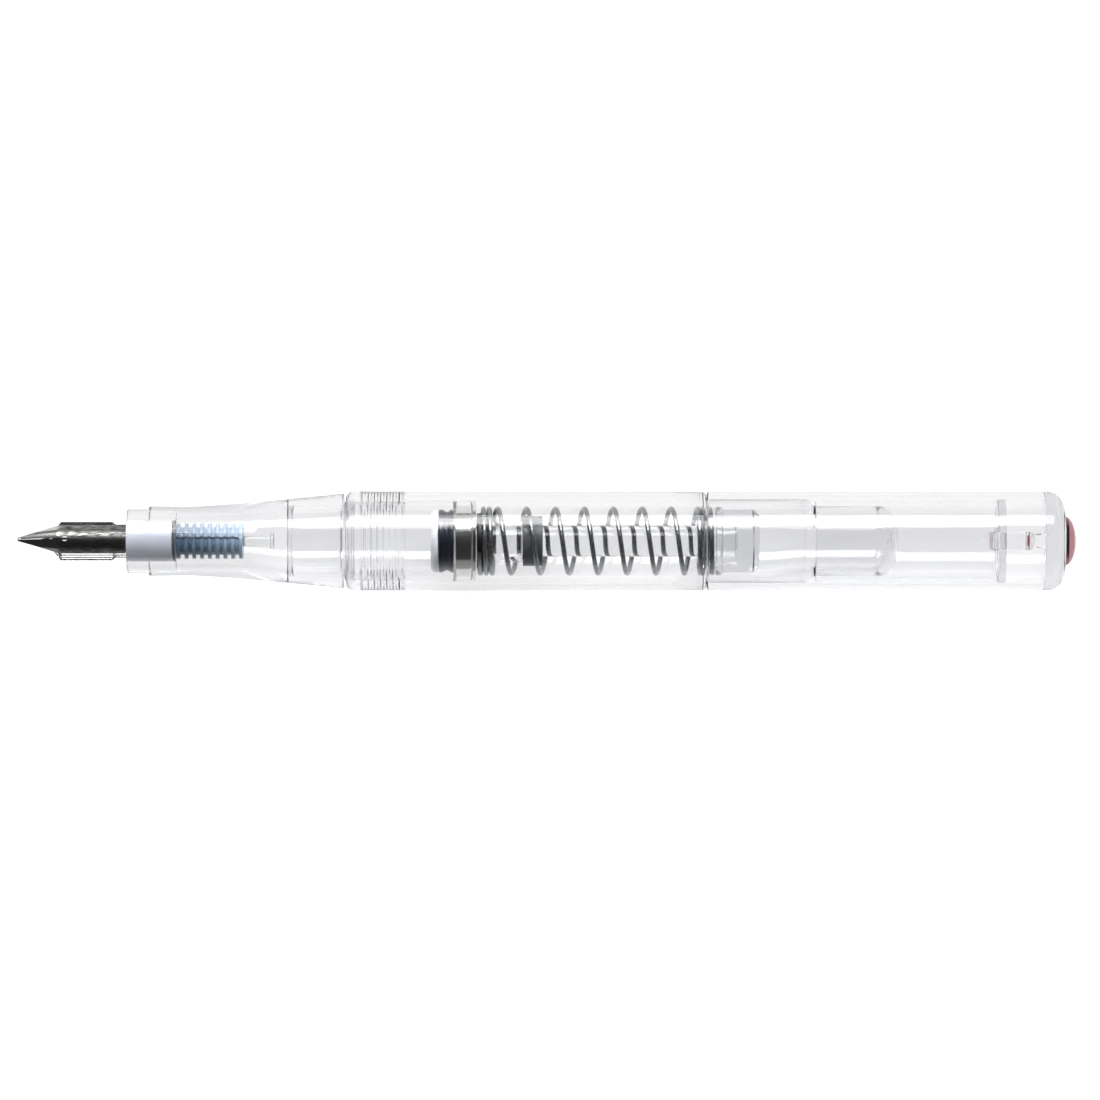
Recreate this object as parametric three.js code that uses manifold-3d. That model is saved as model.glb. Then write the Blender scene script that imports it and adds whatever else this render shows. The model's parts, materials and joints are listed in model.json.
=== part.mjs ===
// A clear fountain pen with a spring-loaded piston filler, its cap posted on the barrel's tail.
//
// Millimetres. Each piece is modelled round the X axis, with x = 0 at the nib's point and x growing towards the
// cap. The finished pen is then laid down: the nib points to -X, its upper face looks up (+Z), the lowest
// facet of the barrel lies on z = 0, and x = 0 is half way along the posted pen.

import * as THREE from "three";
import { mergeVertices } from "three/addons/utils/BufferGeometryUtils.js";
import Module from "manifold-3d";

const wasm = await Module();
wasm.setup();

// ---- Fits -------------------------------------------------------------------------------------------------

const SLIDE_FIT = 0.06; // radial room between pieces that slide or turn in each other
const SEAT_GAP = 0.1; // axial room between faces that seat on each other
const THREAD_CREST_GAP = 0.08; // radial room between the crests of two mating threads
const LOOSE_FIT = 0.3; // radial room round a piece that isn't guided

// ---- Nib unit: nib, feed, housing -------------------------------------------------------------------------

const NIB_EXPOSED = 15.9; // from the nib's point to the grip's mouth
const NIB_RADIUS = 2.45; // outside of the curved nib sheet
const NIB_POINT_RADIUS = 1.35; // height of the sheet above the pen's axis at the point
const NIB_THICKNESS = 0.35;
const NIB_WIDTH = 4.1; // across the shoulders
const NIB_POINT_WIDTH = 0.5;
const NIB_TINE_BOW_PLACE = 0.6; // where the tines' edges bow out, as a share of the way to the shoulders
const NIB_TINE_BOW_WIDTH = 0.62; // their width there, as a share of the width at the shoulders
const NIB_SHOULDER = 5.9; // from the point to the shoulders
const NIB_TAIL = 5.4; // length held inside the housing
const NIB_TAIL_WIDTH = 3.7;
const SLIT_WIDTH = 0.16;
const BREATHER_DIAMETER = 0.9;
const BREATHER_FROM_POINT = 6.9;
const TIPPING_RADIUS = 0.32;
const NIB_TURN_DEG = 10; // how far the nib unit is turned in the grip

const FEED_SETBACK = 3.4; // from the nib's point to the feed's tip
const FEED_TIP_RADIUS = 0.35;
const FEED_WING_RADIUS = 2.85; // the wide front of the feed, below the nib
const FEED_WING_SETBACK = 6.2;
const FEED_WING_LENGTH = 7.5;
const FEED_WING_SLOPE = 2.2; // length of the wings' tapered front
const FEED_WING_END_SLOPE = 0.5;
const FEED_CHANNEL_WIDTH = 0.3;
const FEED_CHANNEL_DEPTH = 0.6;
const FEED_CHANNEL_SETBACK = 1; // from the feed's tip to the channel
const COMB_STEP = 0.4; // how much smaller the comb is than the housing
const COMB_PITCH = 1.14;
const COMB_FIN = 0.5; // thickness of one fin
const COMB_FINS = 9;
const FEED_TAIL_LENGTH = 4.2;
const FEED_TAIL_RADIUS = 0.73;
const FEED_TAIL_FLANGE_RADIUS = 1.2;
const FEED_TAIL_FLANGE = 0.4;

const HOUSING_LENGTH = 6.6;
const HOUSING_WALL = 0.5;
const HOUSING_RING_WIRE = 0.5; // wire diameter of the small ring behind the housing

// ---- Grip section -----------------------------------------------------------------------------------------

const GRIP_LENGTH = 31.6;
const GRIP_NOSE_RADIUS = 4.66;
const GRIP_NOSE_LENGTH = 3.2;
const GRIP_FRONT_RADIUS = 5.1;
const GRIP_WAIST_RADIUS = 5.0;
const GRIP_WAIST_FROM_MOUTH = 9; // from the mouth to the narrowest place
const GRIP_REAR_STEP = 0.55; // how much smaller than the barrel the grip's flare ends
const GRIP_LIP_STEP = 0.3; // how much smaller than the barrel its last edge is
const GRIP_LIP_LENGTH = 2;
const GRIP_FLARE_POWER = 1.25;
const GRIP_FLARE_STEPS = 5;

// ---- Ink chamber and barrel -------------------------------------------------------------------------------

const BARREL_DIAMETER = 14.6; // at the front
const BARREL_TAPER = 0.1; // loss of radius from the front to the shoulder
const BARREL_WALL = 1.05;
const BARREL_FRONT_CHAMFER = 0.8;
const CHAMBER_WALL = 1.2;
const CHAMBER_SPIGOT = 7.4; // length held inside the grip
const CHAMBER_SPIGOT_WALL = 0.6;
const CHAMBER_GASKET_WIRE = 0.5;
const CHAMBER_MOUTH_WALL = 0.6; // wall round the filler's collar
const BARREL_RING_WIRE = 0.64;
const BARREL_RING_FROM_GRIP = 1.2;
const THREAD_PITCH = 0.9;
const THREAD_TURNS = 7;
const THREAD_DEPTH = 0.22;
const THREAD_FROM_GRIP = 2.4;

const TAIL_SEAT_LENGTH = 15.8; // the stretch that grips the cap
const TAIL_NOSE_LENGTH = 12.3; // the thinner stretch that enters the inner cap
const TAIL_WALL = 0.95;
const TAIL_NECK = 6.6; // from the end of the button's room to the step on the outside
const SHOULDER_BORE_SLOPE = 4; // length of the slope inside the barrel's shoulder
const TAIL_BORE_SLOPE = 5.5; // length of the slope behind the button's room
const TAIL_NOSE_RADIUS_STEP = 1.05; // how much thinner the nose is than the seat
const TAIL_NOSE_WALL = 1;
const TAIL_DOME = 2.6; // length of the rounded end
const DOME_STEPS = 5;

// ---- Filler -----------------------------------------------------------------------------------------------

const PISTON_STROKE = 20; // from the collar to the front of the chamber
const PISTON_NOSE_THICKNESS = 1.1;
const PISTON_NOSE_SPIGOT_RADIUS = 1.3;
const PISTON_NOSE_CHAMFER = 0.5;
const PISTON_SEAL_LENGTH = 2.3;
const PISTON_SEAL_LIP = 0.6;
const PISTON_SEAL_WAIST = 0.35; // how much thinner the seal is between its lips
const ROD_RADIUS = 2.3;
const ROD_FLANGE_RADIUS = 2.9;
const ROD_FLANGE_THICKNESS = 0.6;
const ROD_SOCKET_DEPTH = 2;
const COLLAR_LENGTH = 2.4;
const COLLAR_FLANGE_THICKNESS = 0.5;
const GUIDE_WALL = 0.8;
const COLLAR_RIM = 1.2; // metal left round the guide's flange
const GUIDE_FLANGE_THICKNESS = 0.7;
const GUIDE_LENGTH_BEHIND_COLLAR = 9.7;
const GUIDE_SEAL_LENGTH = 1.7;
const BUSH_LENGTH = 2.9;
const BUSH_WALL = 0.9;
const SPRING_LENGTH = 34.9; // installed, between its seats
const SPRING_WIRE = 0.72;
const SPRING_SIDE_ROOM = 1.2; // radial room between the spring and the barrel's bore
const SPRING_BORE_ROOM = 0.25; // radial room between the spring and what stands inside it
const SPRING_ACTIVE_TURNS = 7;
const SPRING_CLOSED_TURNS = 2.6; // at each end
const SPRING_CLOSED_PITCH = 0.86;
const SPRING_STEPS_PER_TURN = 14;
const SPRING_WIRE_SIDES = 6;
const SPRING_START_DEG = 110;
const BUTTON_LENGTH = 6.3;
const BUTTON_FLANGE_THICKNESS = 0.9;
const BUTTON_STEM_LENGTH = 2.4; // the stem that centres the spring
const BUTTON_BODY_STEP = 0.45; // how much thinner the body is than the flange
const BUTTON_ROUND = 0.7;
const BUTTON_SIDE_ROOM = 0.15;
const BUTTON_END_ROOM = 1.4; // free space behind the button

// ---- Cap --------------------------------------------------------------------------------------------------

const CAP_LENGTH = 53.8;
const CAP_WALL = 1.05;
const CAP_MOUTH_CHAMFER = 0.25;
const CAP_END_ROUND = 2.4; // length of the rounded end
const CAP_RIM_WIDTH = 0.45; // flat rim round the finial
const CAP_POCKET_RADIUS = 3.7;
const CAP_POCKET_DEPTH = 1;
const CAP_END_FLOOR = 2; // plastic between the cavity and the finial's pocket
const INNER_CAP_WALL = 0.6;
const INNER_CAP_FLOOR = 0.9;
const INNER_CAP_FLANGE = 1.1;
const INNER_CAP_FROM_END = 10.4; // from the cap's end to the liner's closed end
const INLAY_THICKNESS = 0.35;
const LENS_DOME = 1.6;
const LOOP_LENGTH = 7.4;
const LOOP_HEIGHT = 2.3;
const LOOP_WIDTH = 2.6;
const LOOP_BAR = 0.9; // thickness of the loop's bar and legs
const LOOP_ROOT = 0.5; // how deep the loop is sunk in the cap
const LOOP_FROM_END = 6; // from the loop to the cap's end
const LOOP_SLOPE = 0.8; // how far each end of the loop leans in

// ---- Facets -----------------------------------------------------------------------------------------------

const FACETS = 24; // round every turned piece
const NIB_FACETS = 36;
const RING_WIRE_SIDES = 8;
const NIB_EDGE_STEPS = 6; // along each curved edge of the nib
const HOLE_SIDES = 12; // round the nib's breather hole
const TIPPING_SIDES = 12;
const TIPPING_RINGS = 8;
const SPRING_DIVISIONS_PER_TURN = 100; // for measuring along the spring's wire
const MERGE_TOLERANCE = 1e-3;

// ---- Sizes that follow from these -------------------------------------------------------------------------

const nibInnerRadius = NIB_RADIUS - NIB_THICKNESS;
const feedCoreRadius = nibInnerRadius - SLIDE_FIT;
const housingBore = NIB_RADIUS + SLIDE_FIT;
const housingRadius = housingBore + HOUSING_WALL;
const housingEnd = NIB_EXPOSED + HOUSING_LENGTH;
const housingRingX = housingEnd + SEAT_GAP + HOUSING_RING_WIRE / 2;
const combRadius = housingRadius - COMB_STEP;
const combStart = housingRingX + HOUSING_RING_WIRE / 2 + SEAT_GAP;
const combEnd = combStart + COMB_PITCH * (COMB_FINS - 1) + COMB_FIN;
const feedEnd = combEnd + FEED_TAIL_LENGTH;

const barrelRadius = BARREL_DIAMETER / 2;
const shoulderRadius = barrelRadius - BARREL_TAPER;
const barrelBore = barrelRadius - BARREL_WALL;
const gripEnd = NIB_EXPOSED + GRIP_LENGTH;
const gripBore = housingRadius + SLIDE_FIT;
const combCavity = combRadius + LOOSE_FIT;
const barrelFront = gripEnd + LOOSE_FIT;

const chamberThreadCrest = barrelBore - THREAD_DEPTH - THREAD_CREST_GAP;
const chamberRadius = chamberThreadCrest - SLIDE_FIT;
const chamberThreadRoot = chamberThreadCrest - THREAD_DEPTH;
const chamberBore = chamberRadius - CHAMBER_WALL;
const pistonStack = PISTON_NOSE_THICKNESS + PISTON_SEAL_LENGTH + 2 * SEAT_GAP;
const chamberFront = gripEnd - CHAMBER_SPIGOT;
const chamberEnd = chamberFront + PISTON_STROKE + pistonStack + COLLAR_LENGTH;
const spigotRadius = chamberBore + CHAMBER_SPIGOT_WALL;
const gasketRadius = (chamberBore + spigotRadius) / 2;
const gasketX = chamberFront - SEAT_GAP - CHAMBER_GASKET_WIRE / 2;
const gripSocketFloor = gasketX - CHAMBER_GASKET_WIRE / 2 - SEAT_GAP;
const barrelRingX = gripEnd + BARREL_RING_FROM_GRIP;
const barrelRingRadius = barrelBore - SLIDE_FIT - BARREL_RING_WIRE / 2;
const barrelRingGroove = barrelRingRadius - BARREL_RING_WIRE / 2 - SLIDE_FIT;
const threadStart = gripEnd + THREAD_FROM_GRIP;
const threadEnd = threadStart + THREAD_PITCH * THREAD_TURNS;

const collarRadius = chamberRadius - CHAMBER_MOUTH_WALL;
const collarFront = chamberEnd - COLLAR_LENGTH;
const collarSeat = chamberEnd + SEAT_GAP;
const springSeat = collarSeat + COLLAR_FLANGE_THICKNESS;
const guideBore = ROD_RADIUS + SLIDE_FIT;
const guideRadius = guideBore + GUIDE_WALL;
const guideFlangeRadius = collarRadius - COLLAR_RIM;
const guideEnd = springSeat + GUIDE_LENGTH_BEHIND_COLLAR;
const bushBore = guideRadius - GUIDE_WALL / 2;
const bushRadius = bushBore + BUSH_WALL;
const springOuterRadius = barrelBore - SPRING_SIDE_ROOM;
const springRadius = springOuterRadius - SPRING_WIRE / 2;
const springInnerRadius = springOuterRadius - SPRING_WIRE;
const buttonSeat = springSeat + SPRING_LENGTH;
const buttonEnd = buttonSeat + BUTTON_LENGTH;
const buttonRadius = springOuterRadius;
const buttonStemRadius = springInnerRadius - SPRING_BORE_ROOM;

const pistonSealEnd = collarFront - SEAT_GAP;
const pistonSealStart = pistonSealEnd - PISTON_SEAL_LENGTH;
const pistonSealRadius = chamberBore - SLIDE_FIT;
const pistonNoseEnd = pistonSealStart - SEAT_GAP;
const pistonNoseStart = pistonNoseEnd - PISTON_NOSE_THICKNESS;
const pistonNoseRadius = pistonSealRadius - SLIDE_FIT;

const tailBore = buttonRadius + BUTTON_SIDE_ROOM;
const tailRadius = tailBore + TAIL_WALL;
const tailBoreEnd = buttonEnd + BUTTON_END_ROOM;
const tailStep = tailBoreEnd + TAIL_NECK;
const shoulder = tailStep - TAIL_SEAT_LENGTH;
const tailNoseRadius = tailRadius - TAIL_NOSE_RADIUS_STEP;
const tailNoseBore = tailNoseRadius - TAIL_NOSE_WALL;
const tailEnd = tailStep + TAIL_NOSE_LENGTH;

const capBore = tailRadius + SLIDE_FIT;
const capRadius = capBore + CAP_WALL;
const capMouth = shoulder + SEAT_GAP;
const capEnd = capMouth + CAP_LENGTH;
const capRim = capEnd - LENS_DOME;
const capPocketFloor = capRim - CAP_POCKET_DEPTH;
const capCavityEnd = capPocketFloor - CAP_END_FLOOR;
const innerCapBore = tailNoseRadius + LOOSE_FIT / 2;
const innerCapRadius = innerCapBore + INNER_CAP_WALL;
const innerCapLip = tailStep + SEAT_GAP;
const innerCapEnd = capEnd - INNER_CAP_FROM_END;
const inlayStart = capPocketFloor + SEAT_GAP;
const lensStart = inlayStart + INLAY_THICKNESS + SEAT_GAP;
const finialRadius = CAP_POCKET_RADIUS - SLIDE_FIT;

const penLength = capEnd;
const restHeight = Math.max(barrelRadius, capRadius) * Math.cos(Math.PI / FACETS);

// ---- Making shapes ----------------------------------------------------------------------------------------

// A solid turned round X from the [x, radius] points of a closed profile, which may have one side on the axis.
function turned(profile, facets = FACETS) {
  const before = (i) => profile[(i + profile.length - 1) % profile.length];
  const area = profile.reduce((sum, [x, radius], i) => sum + before(i)[0] * radius - x * before(i)[1], 0);
  const onAxis = profile.findIndex(([, radius], i) => radius === 0 && before(i)[1] === 0);
  const first = Math.max(onAxis, 0);
  const ordered = [...profile.slice(first), ...profile.slice(0, first)];
  const points = ordered.map(([x, radius]) => new THREE.Vector2(radius, x));
  if (onAxis < 0) points.push(points[0].clone());
  if (area > 0) points.reverse();
  return new THREE.LatheGeometry(points, facets, Math.PI / facets).rotateZ(-Math.PI / 2);
}

// A plain tube, or a rod where the bore is 0.
function tube(start, end, bore, radius) {
  const inner = bore > 0 ? [[end, bore], [start, bore]] : [[end, 0], [start, 0]];
  return turned([[start, radius], [end, radius], ...inner]);
}

// A ring of round wire, such as an O-ring, lying across the X axis.
function wireRing(x, radius, wire) {
  const section = [];
  for (let i = 0; i < RING_WIRE_SIDES; i++) {
    const angle = (i / RING_WIRE_SIDES) * 2 * Math.PI;
    section.push([x + (wire / 2) * Math.cos(angle), radius + (wire / 2) * Math.sin(angle)]);
  }
  return turned(section);
}

function block(x0, x1, y0, y1, z0, z1) {
  const geometry = new THREE.BoxGeometry(x1 - x0, y1 - y0, z1 - z0);
  return geometry.translate((x0 + x1) / 2, (y0 + y1) / 2, (z0 + z1) / 2);
}

// A closed geometry as a solid that can be joined and cut.
function solid(geometry) {
  const bare = geometry.clone();
  bare.deleteAttribute("normal");
  bare.deleteAttribute("uv");
  const merged = mergeVertices(bare, MERGE_TOLERANCE);
  const mesh = new wasm.Mesh({
    numProp: 3,
    vertProperties: merged.attributes.position.array,
    triVerts: new Uint32Array(merged.index.array),
  });
  return new wasm.Manifold(mesh);
}

function geometryOf(manifold) {
  const mesh = manifold.getMesh();
  const geometry = new THREE.BufferGeometry();
  geometry.setAttribute("position", new THREE.BufferAttribute(mesh.vertProperties, mesh.numProp));
  geometry.setIndex(new THREE.BufferAttribute(mesh.triVerts, 1));
  geometry.computeVertexNormals();
  return geometry;
}

// Ridges of a thread as V-shaped rings: points along the profile, from start to end.
function threadRidges(start, root, crest) {
  const points = [];
  for (let i = 0; i < THREAD_TURNS; i++) {
    const x = start + i * THREAD_PITCH;
    points.push([x, root], [x + THREAD_PITCH / 2, crest]);
  }
  points.push([start + THREAD_TURNS * THREAD_PITCH, root]);
  return points;
}

// A quarter ellipse from [start, radius] to [end, endRadius], as points after the first.
function roundedEnd(start, end, radius, endRadius) {
  const points = [];
  for (let i = 1; i <= DOME_STEPS; i++) {
    const angle = (i / DOME_STEPS) * (Math.PI / 2);
    const x = start + (end - start) * Math.sin(angle);
    points.push([x, i === DOME_STEPS ? endRadius : endRadius + (radius - endRadius) * Math.cos(angle)]);
  }
  return points;
}

// ---- Nib unit ---------------------------------------------------------------------------------------------

function nibSheet() {
  return turned(
    [
      [0, NIB_POINT_RADIUS],
      [NIB_SHOULDER, NIB_RADIUS],
      [NIB_EXPOSED + NIB_TAIL, NIB_RADIUS],
      [NIB_EXPOSED + NIB_TAIL, nibInnerRadius],
      [NIB_SHOULDER, nibInnerRadius],
      [0, NIB_POINT_RADIUS - NIB_THICKNESS],
    ],
    NIB_FACETS,
  );
}

function nibOutline() {
  const outline = new THREE.Shape();
  const half = NIB_WIDTH / 2;
  const point = NIB_POINT_WIDTH / 2;
  const tail = NIB_TAIL_WIDTH / 2;
  const end = NIB_EXPOSED + NIB_TAIL;
  const bowX = NIB_SHOULDER * NIB_TINE_BOW_PLACE;
  const bowWidth = half * NIB_TINE_BOW_WIDTH;
  outline.moveTo(0, -point);
  outline.quadraticCurveTo(bowX, -bowWidth, NIB_SHOULDER, -half);
  outline.lineTo(NIB_EXPOSED - SEAT_GAP, -half);
  outline.lineTo(NIB_EXPOSED, -tail);
  outline.lineTo(end, -tail);
  outline.lineTo(end, tail);
  outline.lineTo(NIB_EXPOSED, tail);
  outline.lineTo(NIB_EXPOSED - SEAT_GAP, half);
  outline.lineTo(NIB_SHOULDER, half);
  outline.quadraticCurveTo(bowX, bowWidth, 0, point);
  const settings = { depth: NIB_RADIUS, bevelEnabled: false, curveSegments: NIB_EDGE_STEPS };
  return new THREE.ExtrudeGeometry(outline, settings);
}

function makeNib() {
  const radius = BREATHER_DIAMETER / 2;
  const slit = block(-TIPPING_RADIUS, BREATHER_FROM_POINT, -SLIT_WIDTH / 2, SLIT_WIDTH / 2, 0, NIB_RADIUS);
  const breather = new THREE.CylinderGeometry(radius, radius, NIB_RADIUS, HOLE_SIDES);
  breather.rotateX(Math.PI / 2).translate(BREATHER_FROM_POINT, 0, NIB_RADIUS);
  const tipping = new THREE.SphereGeometry(TIPPING_RADIUS, TIPPING_SIDES, TIPPING_RINGS);
  tipping.translate(TIPPING_RADIUS, 0, NIB_POINT_RADIUS - NIB_THICKNESS / 2);
  const sheet = solid(nibSheet()).intersect(solid(nibOutline())).add(solid(tipping));
  return geometryOf(sheet.subtract(solid(slit)).subtract(solid(breather)));
}

// The feed's round core: tapered tip, plain stretch under the nib, comb of fins and the rear tail.
function feedCore() {
  const profile = [
    [FEED_SETBACK, 0],
    [FEED_SETBACK, FEED_TIP_RADIUS],
    [NIB_SHOULDER, feedCoreRadius],
    [combStart, feedCoreRadius],
  ];
  for (let i = 0; i < COMB_FINS; i++) {
    const x = combStart + i * COMB_PITCH;
    profile.push([x, combRadius], [x + COMB_FIN, combRadius]);
    if (i < COMB_FINS - 1) profile.push([x + COMB_FIN, feedCoreRadius], [x + COMB_PITCH, feedCoreRadius]);
  }
  profile.push(
    [combEnd, FEED_TAIL_RADIUS],
    [feedEnd - FEED_TAIL_FLANGE, FEED_TAIL_RADIUS],
    [feedEnd - FEED_TAIL_FLANGE, FEED_TAIL_FLANGE_RADIUS],
    [feedEnd, FEED_TAIL_FLANGE_RADIUS],
    [feedEnd, 0],
  );
  return turned(profile);
}

// The wide lower body in front of the housing, and the stretch of it that is held in the housing.
function feedWings() {
  const wingEnd = FEED_WING_SETBACK + FEED_WING_LENGTH;
  const profile = [
    [FEED_WING_SETBACK - FEED_WING_SLOPE, 0],
    [FEED_WING_SETBACK, FEED_WING_RADIUS],
    [wingEnd, FEED_WING_RADIUS],
    [wingEnd + FEED_WING_END_SLOPE, NIB_RADIUS],
    [housingEnd, NIB_RADIUS],
    [housingEnd, 0],
  ];
  const room = FEED_WING_RADIUS * 2;
  const below = block(0, housingEnd + room, -room, room, -room, -SEAT_GAP);
  return solid(turned(profile)).intersect(solid(below));
}

function makeFeed() {
  const half = FEED_CHANNEL_WIDTH / 2;
  const start = FEED_SETBACK + FEED_CHANNEL_SETBACK;
  const floor = feedCoreRadius - FEED_CHANNEL_DEPTH;
  const channel = block(start, combEnd - COMB_FIN, -half, half, floor, housingRadius);
  return geometryOf(solid(feedCore()).add(feedWings()).subtract(solid(channel)));
}

function makeNibHousing() {
  return tube(NIB_EXPOSED, housingEnd, housingBore, housingRadius);
}

function makeHousingRing() {
  const centre = gripBore - SLIDE_FIT - HOUSING_RING_WIRE / 2;
  return wireRing(housingRingX, centre, HOUSING_RING_WIRE);
}

// ---- Grip, chamber and barrel -----------------------------------------------------------------------------

function makeGripSection() {
  const mouth = NIB_EXPOSED;
  const waist = mouth + GRIP_WAIST_FROM_MOUTH;
  const flareEnd = gripEnd - GRIP_LIP_LENGTH;
  const flareRadius = barrelRadius - GRIP_REAR_STEP;
  const lipRadius = barrelRadius - GRIP_LIP_STEP;
  const outside = [
    [mouth, GRIP_NOSE_RADIUS],
    [mouth + GRIP_NOSE_LENGTH, GRIP_NOSE_RADIUS],
    [mouth + GRIP_NOSE_LENGTH, GRIP_FRONT_RADIUS],
    [waist, GRIP_WAIST_RADIUS],
  ];
  for (let i = 1; i <= GRIP_FLARE_STEPS; i++) {
    const share = i / GRIP_FLARE_STEPS;
    const radius = GRIP_WAIST_RADIUS + (flareRadius - GRIP_WAIST_RADIUS) * share ** GRIP_FLARE_POWER;
    outside.push([waist + (flareEnd - waist) * share, radius]);
  }
  const socket = spigotRadius + SLIDE_FIT;
  const inside = [
    [gripEnd, lipRadius],
    [gripEnd, socket],
    [gripSocketFloor, socket],
    [gripSocketFloor, chamberBore],
    [combEnd + COMB_FIN, combCavity],
    [combStart - SEAT_GAP, combCavity],
    [combStart - SEAT_GAP, gripBore],
    [mouth, gripBore],
  ];
  return turned([...outside, ...inside]);
}

function makeChamberGasket() {
  return wireRing(gasketX, gasketRadius, CHAMBER_GASKET_WIRE);
}

function makeInkChamber() {
  const ringHalf = BARREL_RING_WIRE / 2 + SLIDE_FIT;
  const shoulderX = gripEnd + SEAT_GAP;
  const counterbore = collarRadius + SLIDE_FIT;
  const outside = [
    [chamberFront, spigotRadius],
    [shoulderX, spigotRadius],
    [shoulderX, chamberRadius],
    [barrelRingX - ringHalf, chamberRadius],
    [barrelRingX - ringHalf, barrelRingGroove],
    [barrelRingX + ringHalf, barrelRingGroove],
    [barrelRingX + ringHalf, chamberThreadRoot],
    ...threadRidges(threadStart, chamberThreadRoot, chamberThreadCrest),
    [threadEnd, chamberRadius],
    [chamberEnd, chamberRadius],
  ];
  const inside = [
    [chamberEnd, counterbore],
    [collarFront - SEAT_GAP, counterbore],
    [collarFront - SEAT_GAP, chamberBore],
    [chamberFront, chamberBore],
  ];
  return turned([...outside, ...inside]);
}

function makeBarrelRing() {
  return wireRing(barrelRingX, barrelRingRadius, BARREL_RING_WIRE);
}

function makeBarrel() {
  const innerDomeStart = tailEnd - TAIL_DOME - TAIL_NOSE_WALL;
  const outside = [
    [barrelFront, barrelRadius - BARREL_FRONT_CHAMFER / 2],
    [barrelFront + BARREL_FRONT_CHAMFER, barrelRadius],
    [shoulder, shoulderRadius],
    [shoulder, tailRadius],
    [tailStep - TAIL_NOSE_RADIUS_STEP, tailRadius],
    [tailStep, tailNoseRadius],
    [tailEnd - TAIL_DOME, tailNoseRadius],
    ...roundedEnd(tailEnd - TAIL_DOME, tailEnd, tailNoseRadius, 0),
  ];
  const bore = [
    [barrelFront, barrelBore],
    ...threadRidges(threadStart, barrelBore, barrelBore - THREAD_DEPTH),
    [shoulder - BARREL_WALL - SHOULDER_BORE_SLOPE, barrelBore],
    [shoulder - BARREL_WALL, tailBore],
    [tailBoreEnd, tailBore],
    [tailBoreEnd + TAIL_BORE_SLOPE, tailNoseBore],
    [innerDomeStart, tailNoseBore],
    ...roundedEnd(innerDomeStart, tailEnd - TAIL_NOSE_WALL, tailNoseBore, 0),
  ];
  return turned([...outside, ...bore.reverse()]);
}

// ---- Filler -----------------------------------------------------------------------------------------------

function makePistonNose() {
  const spigotEnd = pistonSealEnd - SEAT_GAP;
  return turned(
    [
      [pistonNoseStart, 0],
      [pistonNoseStart, pistonNoseRadius - PISTON_NOSE_CHAMFER],
      [pistonNoseStart + PISTON_NOSE_CHAMFER, pistonNoseRadius],
      [pistonNoseEnd, pistonNoseRadius],
      [pistonNoseEnd, PISTON_NOSE_SPIGOT_RADIUS],
      [spigotEnd, PISTON_NOSE_SPIGOT_RADIUS],
      [spigotEnd, 0],
    ]
  );
}

function makePistonSeal() {
  const waist = pistonSealRadius - PISTON_SEAL_WAIST;
  const bore = PISTON_NOSE_SPIGOT_RADIUS + SLIDE_FIT;
  const pocket = ROD_FLANGE_RADIUS + SLIDE_FIT;
  const pocketStart = pistonSealEnd - ROD_FLANGE_THICKNESS - SEAT_GAP;
  return turned(
    [
      [pistonSealStart, pistonSealRadius],
      [pistonSealStart + PISTON_SEAL_LIP, pistonSealRadius],
      [pistonSealStart + PISTON_SEAL_LIP + PISTON_SEAL_WAIST, waist],
      [pistonSealEnd - PISTON_SEAL_LIP - PISTON_SEAL_WAIST, waist],
      [pistonSealEnd - PISTON_SEAL_LIP, pistonSealRadius],
      [pistonSealEnd, pistonSealRadius],
      [pistonSealEnd, pocket],
      [pocketStart, pocket],
      [pocketStart, bore],
      [pistonSealStart, bore],
    ]
  );
}

// The rod's front flange sits in the seal and its end takes the nose's spigot; its rear end is in the button.
function makePlungerRod() {
  const flangeStart = pistonSealEnd - ROD_FLANGE_THICKNESS;
  const socket = PISTON_NOSE_SPIGOT_RADIUS + SLIDE_FIT;
  const rear = buttonEnd - BUTTON_LENGTH / 2 - SEAT_GAP;
  return turned(
    [
      [flangeStart + ROD_SOCKET_DEPTH, 0],
      [flangeStart + ROD_SOCKET_DEPTH, socket],
      [flangeStart, socket],
      [flangeStart, ROD_FLANGE_RADIUS],
      [pistonSealEnd - SEAT_GAP, ROD_FLANGE_RADIUS],
      [pistonSealEnd - SEAT_GAP, ROD_RADIUS],
      [rear, ROD_RADIUS],
      [rear, 0],
    ]
  );
}

function makeFillerCollar() {
  const pocket = guideFlangeRadius + SLIDE_FIT;
  const pocketEnd = collarFront + GUIDE_FLANGE_THICKNESS + SEAT_GAP;
  const bore = guideRadius + SLIDE_FIT;
  return turned(
    [
      [collarFront, collarRadius],
      [collarSeat, collarRadius],
      [collarSeat, chamberRadius],
      [springSeat, chamberRadius],
      [springSeat, bore],
      [pocketEnd, bore],
      [pocketEnd, pocket],
      [collarFront, pocket],
    ]
  );
}

function makeRodGuide() {
  const bushStart = guideEnd - BUSH_LENGTH;
  return turned(
    [
      [collarFront, guideFlangeRadius],
      [collarFront + GUIDE_FLANGE_THICKNESS, guideFlangeRadius],
      [collarFront + GUIDE_FLANGE_THICKNESS, guideRadius],
      [bushStart - SEAT_GAP, guideRadius],
      [bushStart - SEAT_GAP, bushBore - SLIDE_FIT],
      [guideEnd - SEAT_GAP, bushBore - SLIDE_FIT],
      [guideEnd - SEAT_GAP, guideBore],
      [collarFront, guideBore],
    ]
  );
}

function makeGuideSeal() {
  const start = springSeat + SEAT_GAP;
  const bore = guideRadius + SLIDE_FIT;
  return tube(start, start + GUIDE_SEAL_LENGTH, bore, springInnerRadius - SPRING_BORE_ROOM);
}

function makeRodBush() {
  return tube(guideEnd - BUSH_LENGTH, guideEnd, bushBore, bushRadius);
}

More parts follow.
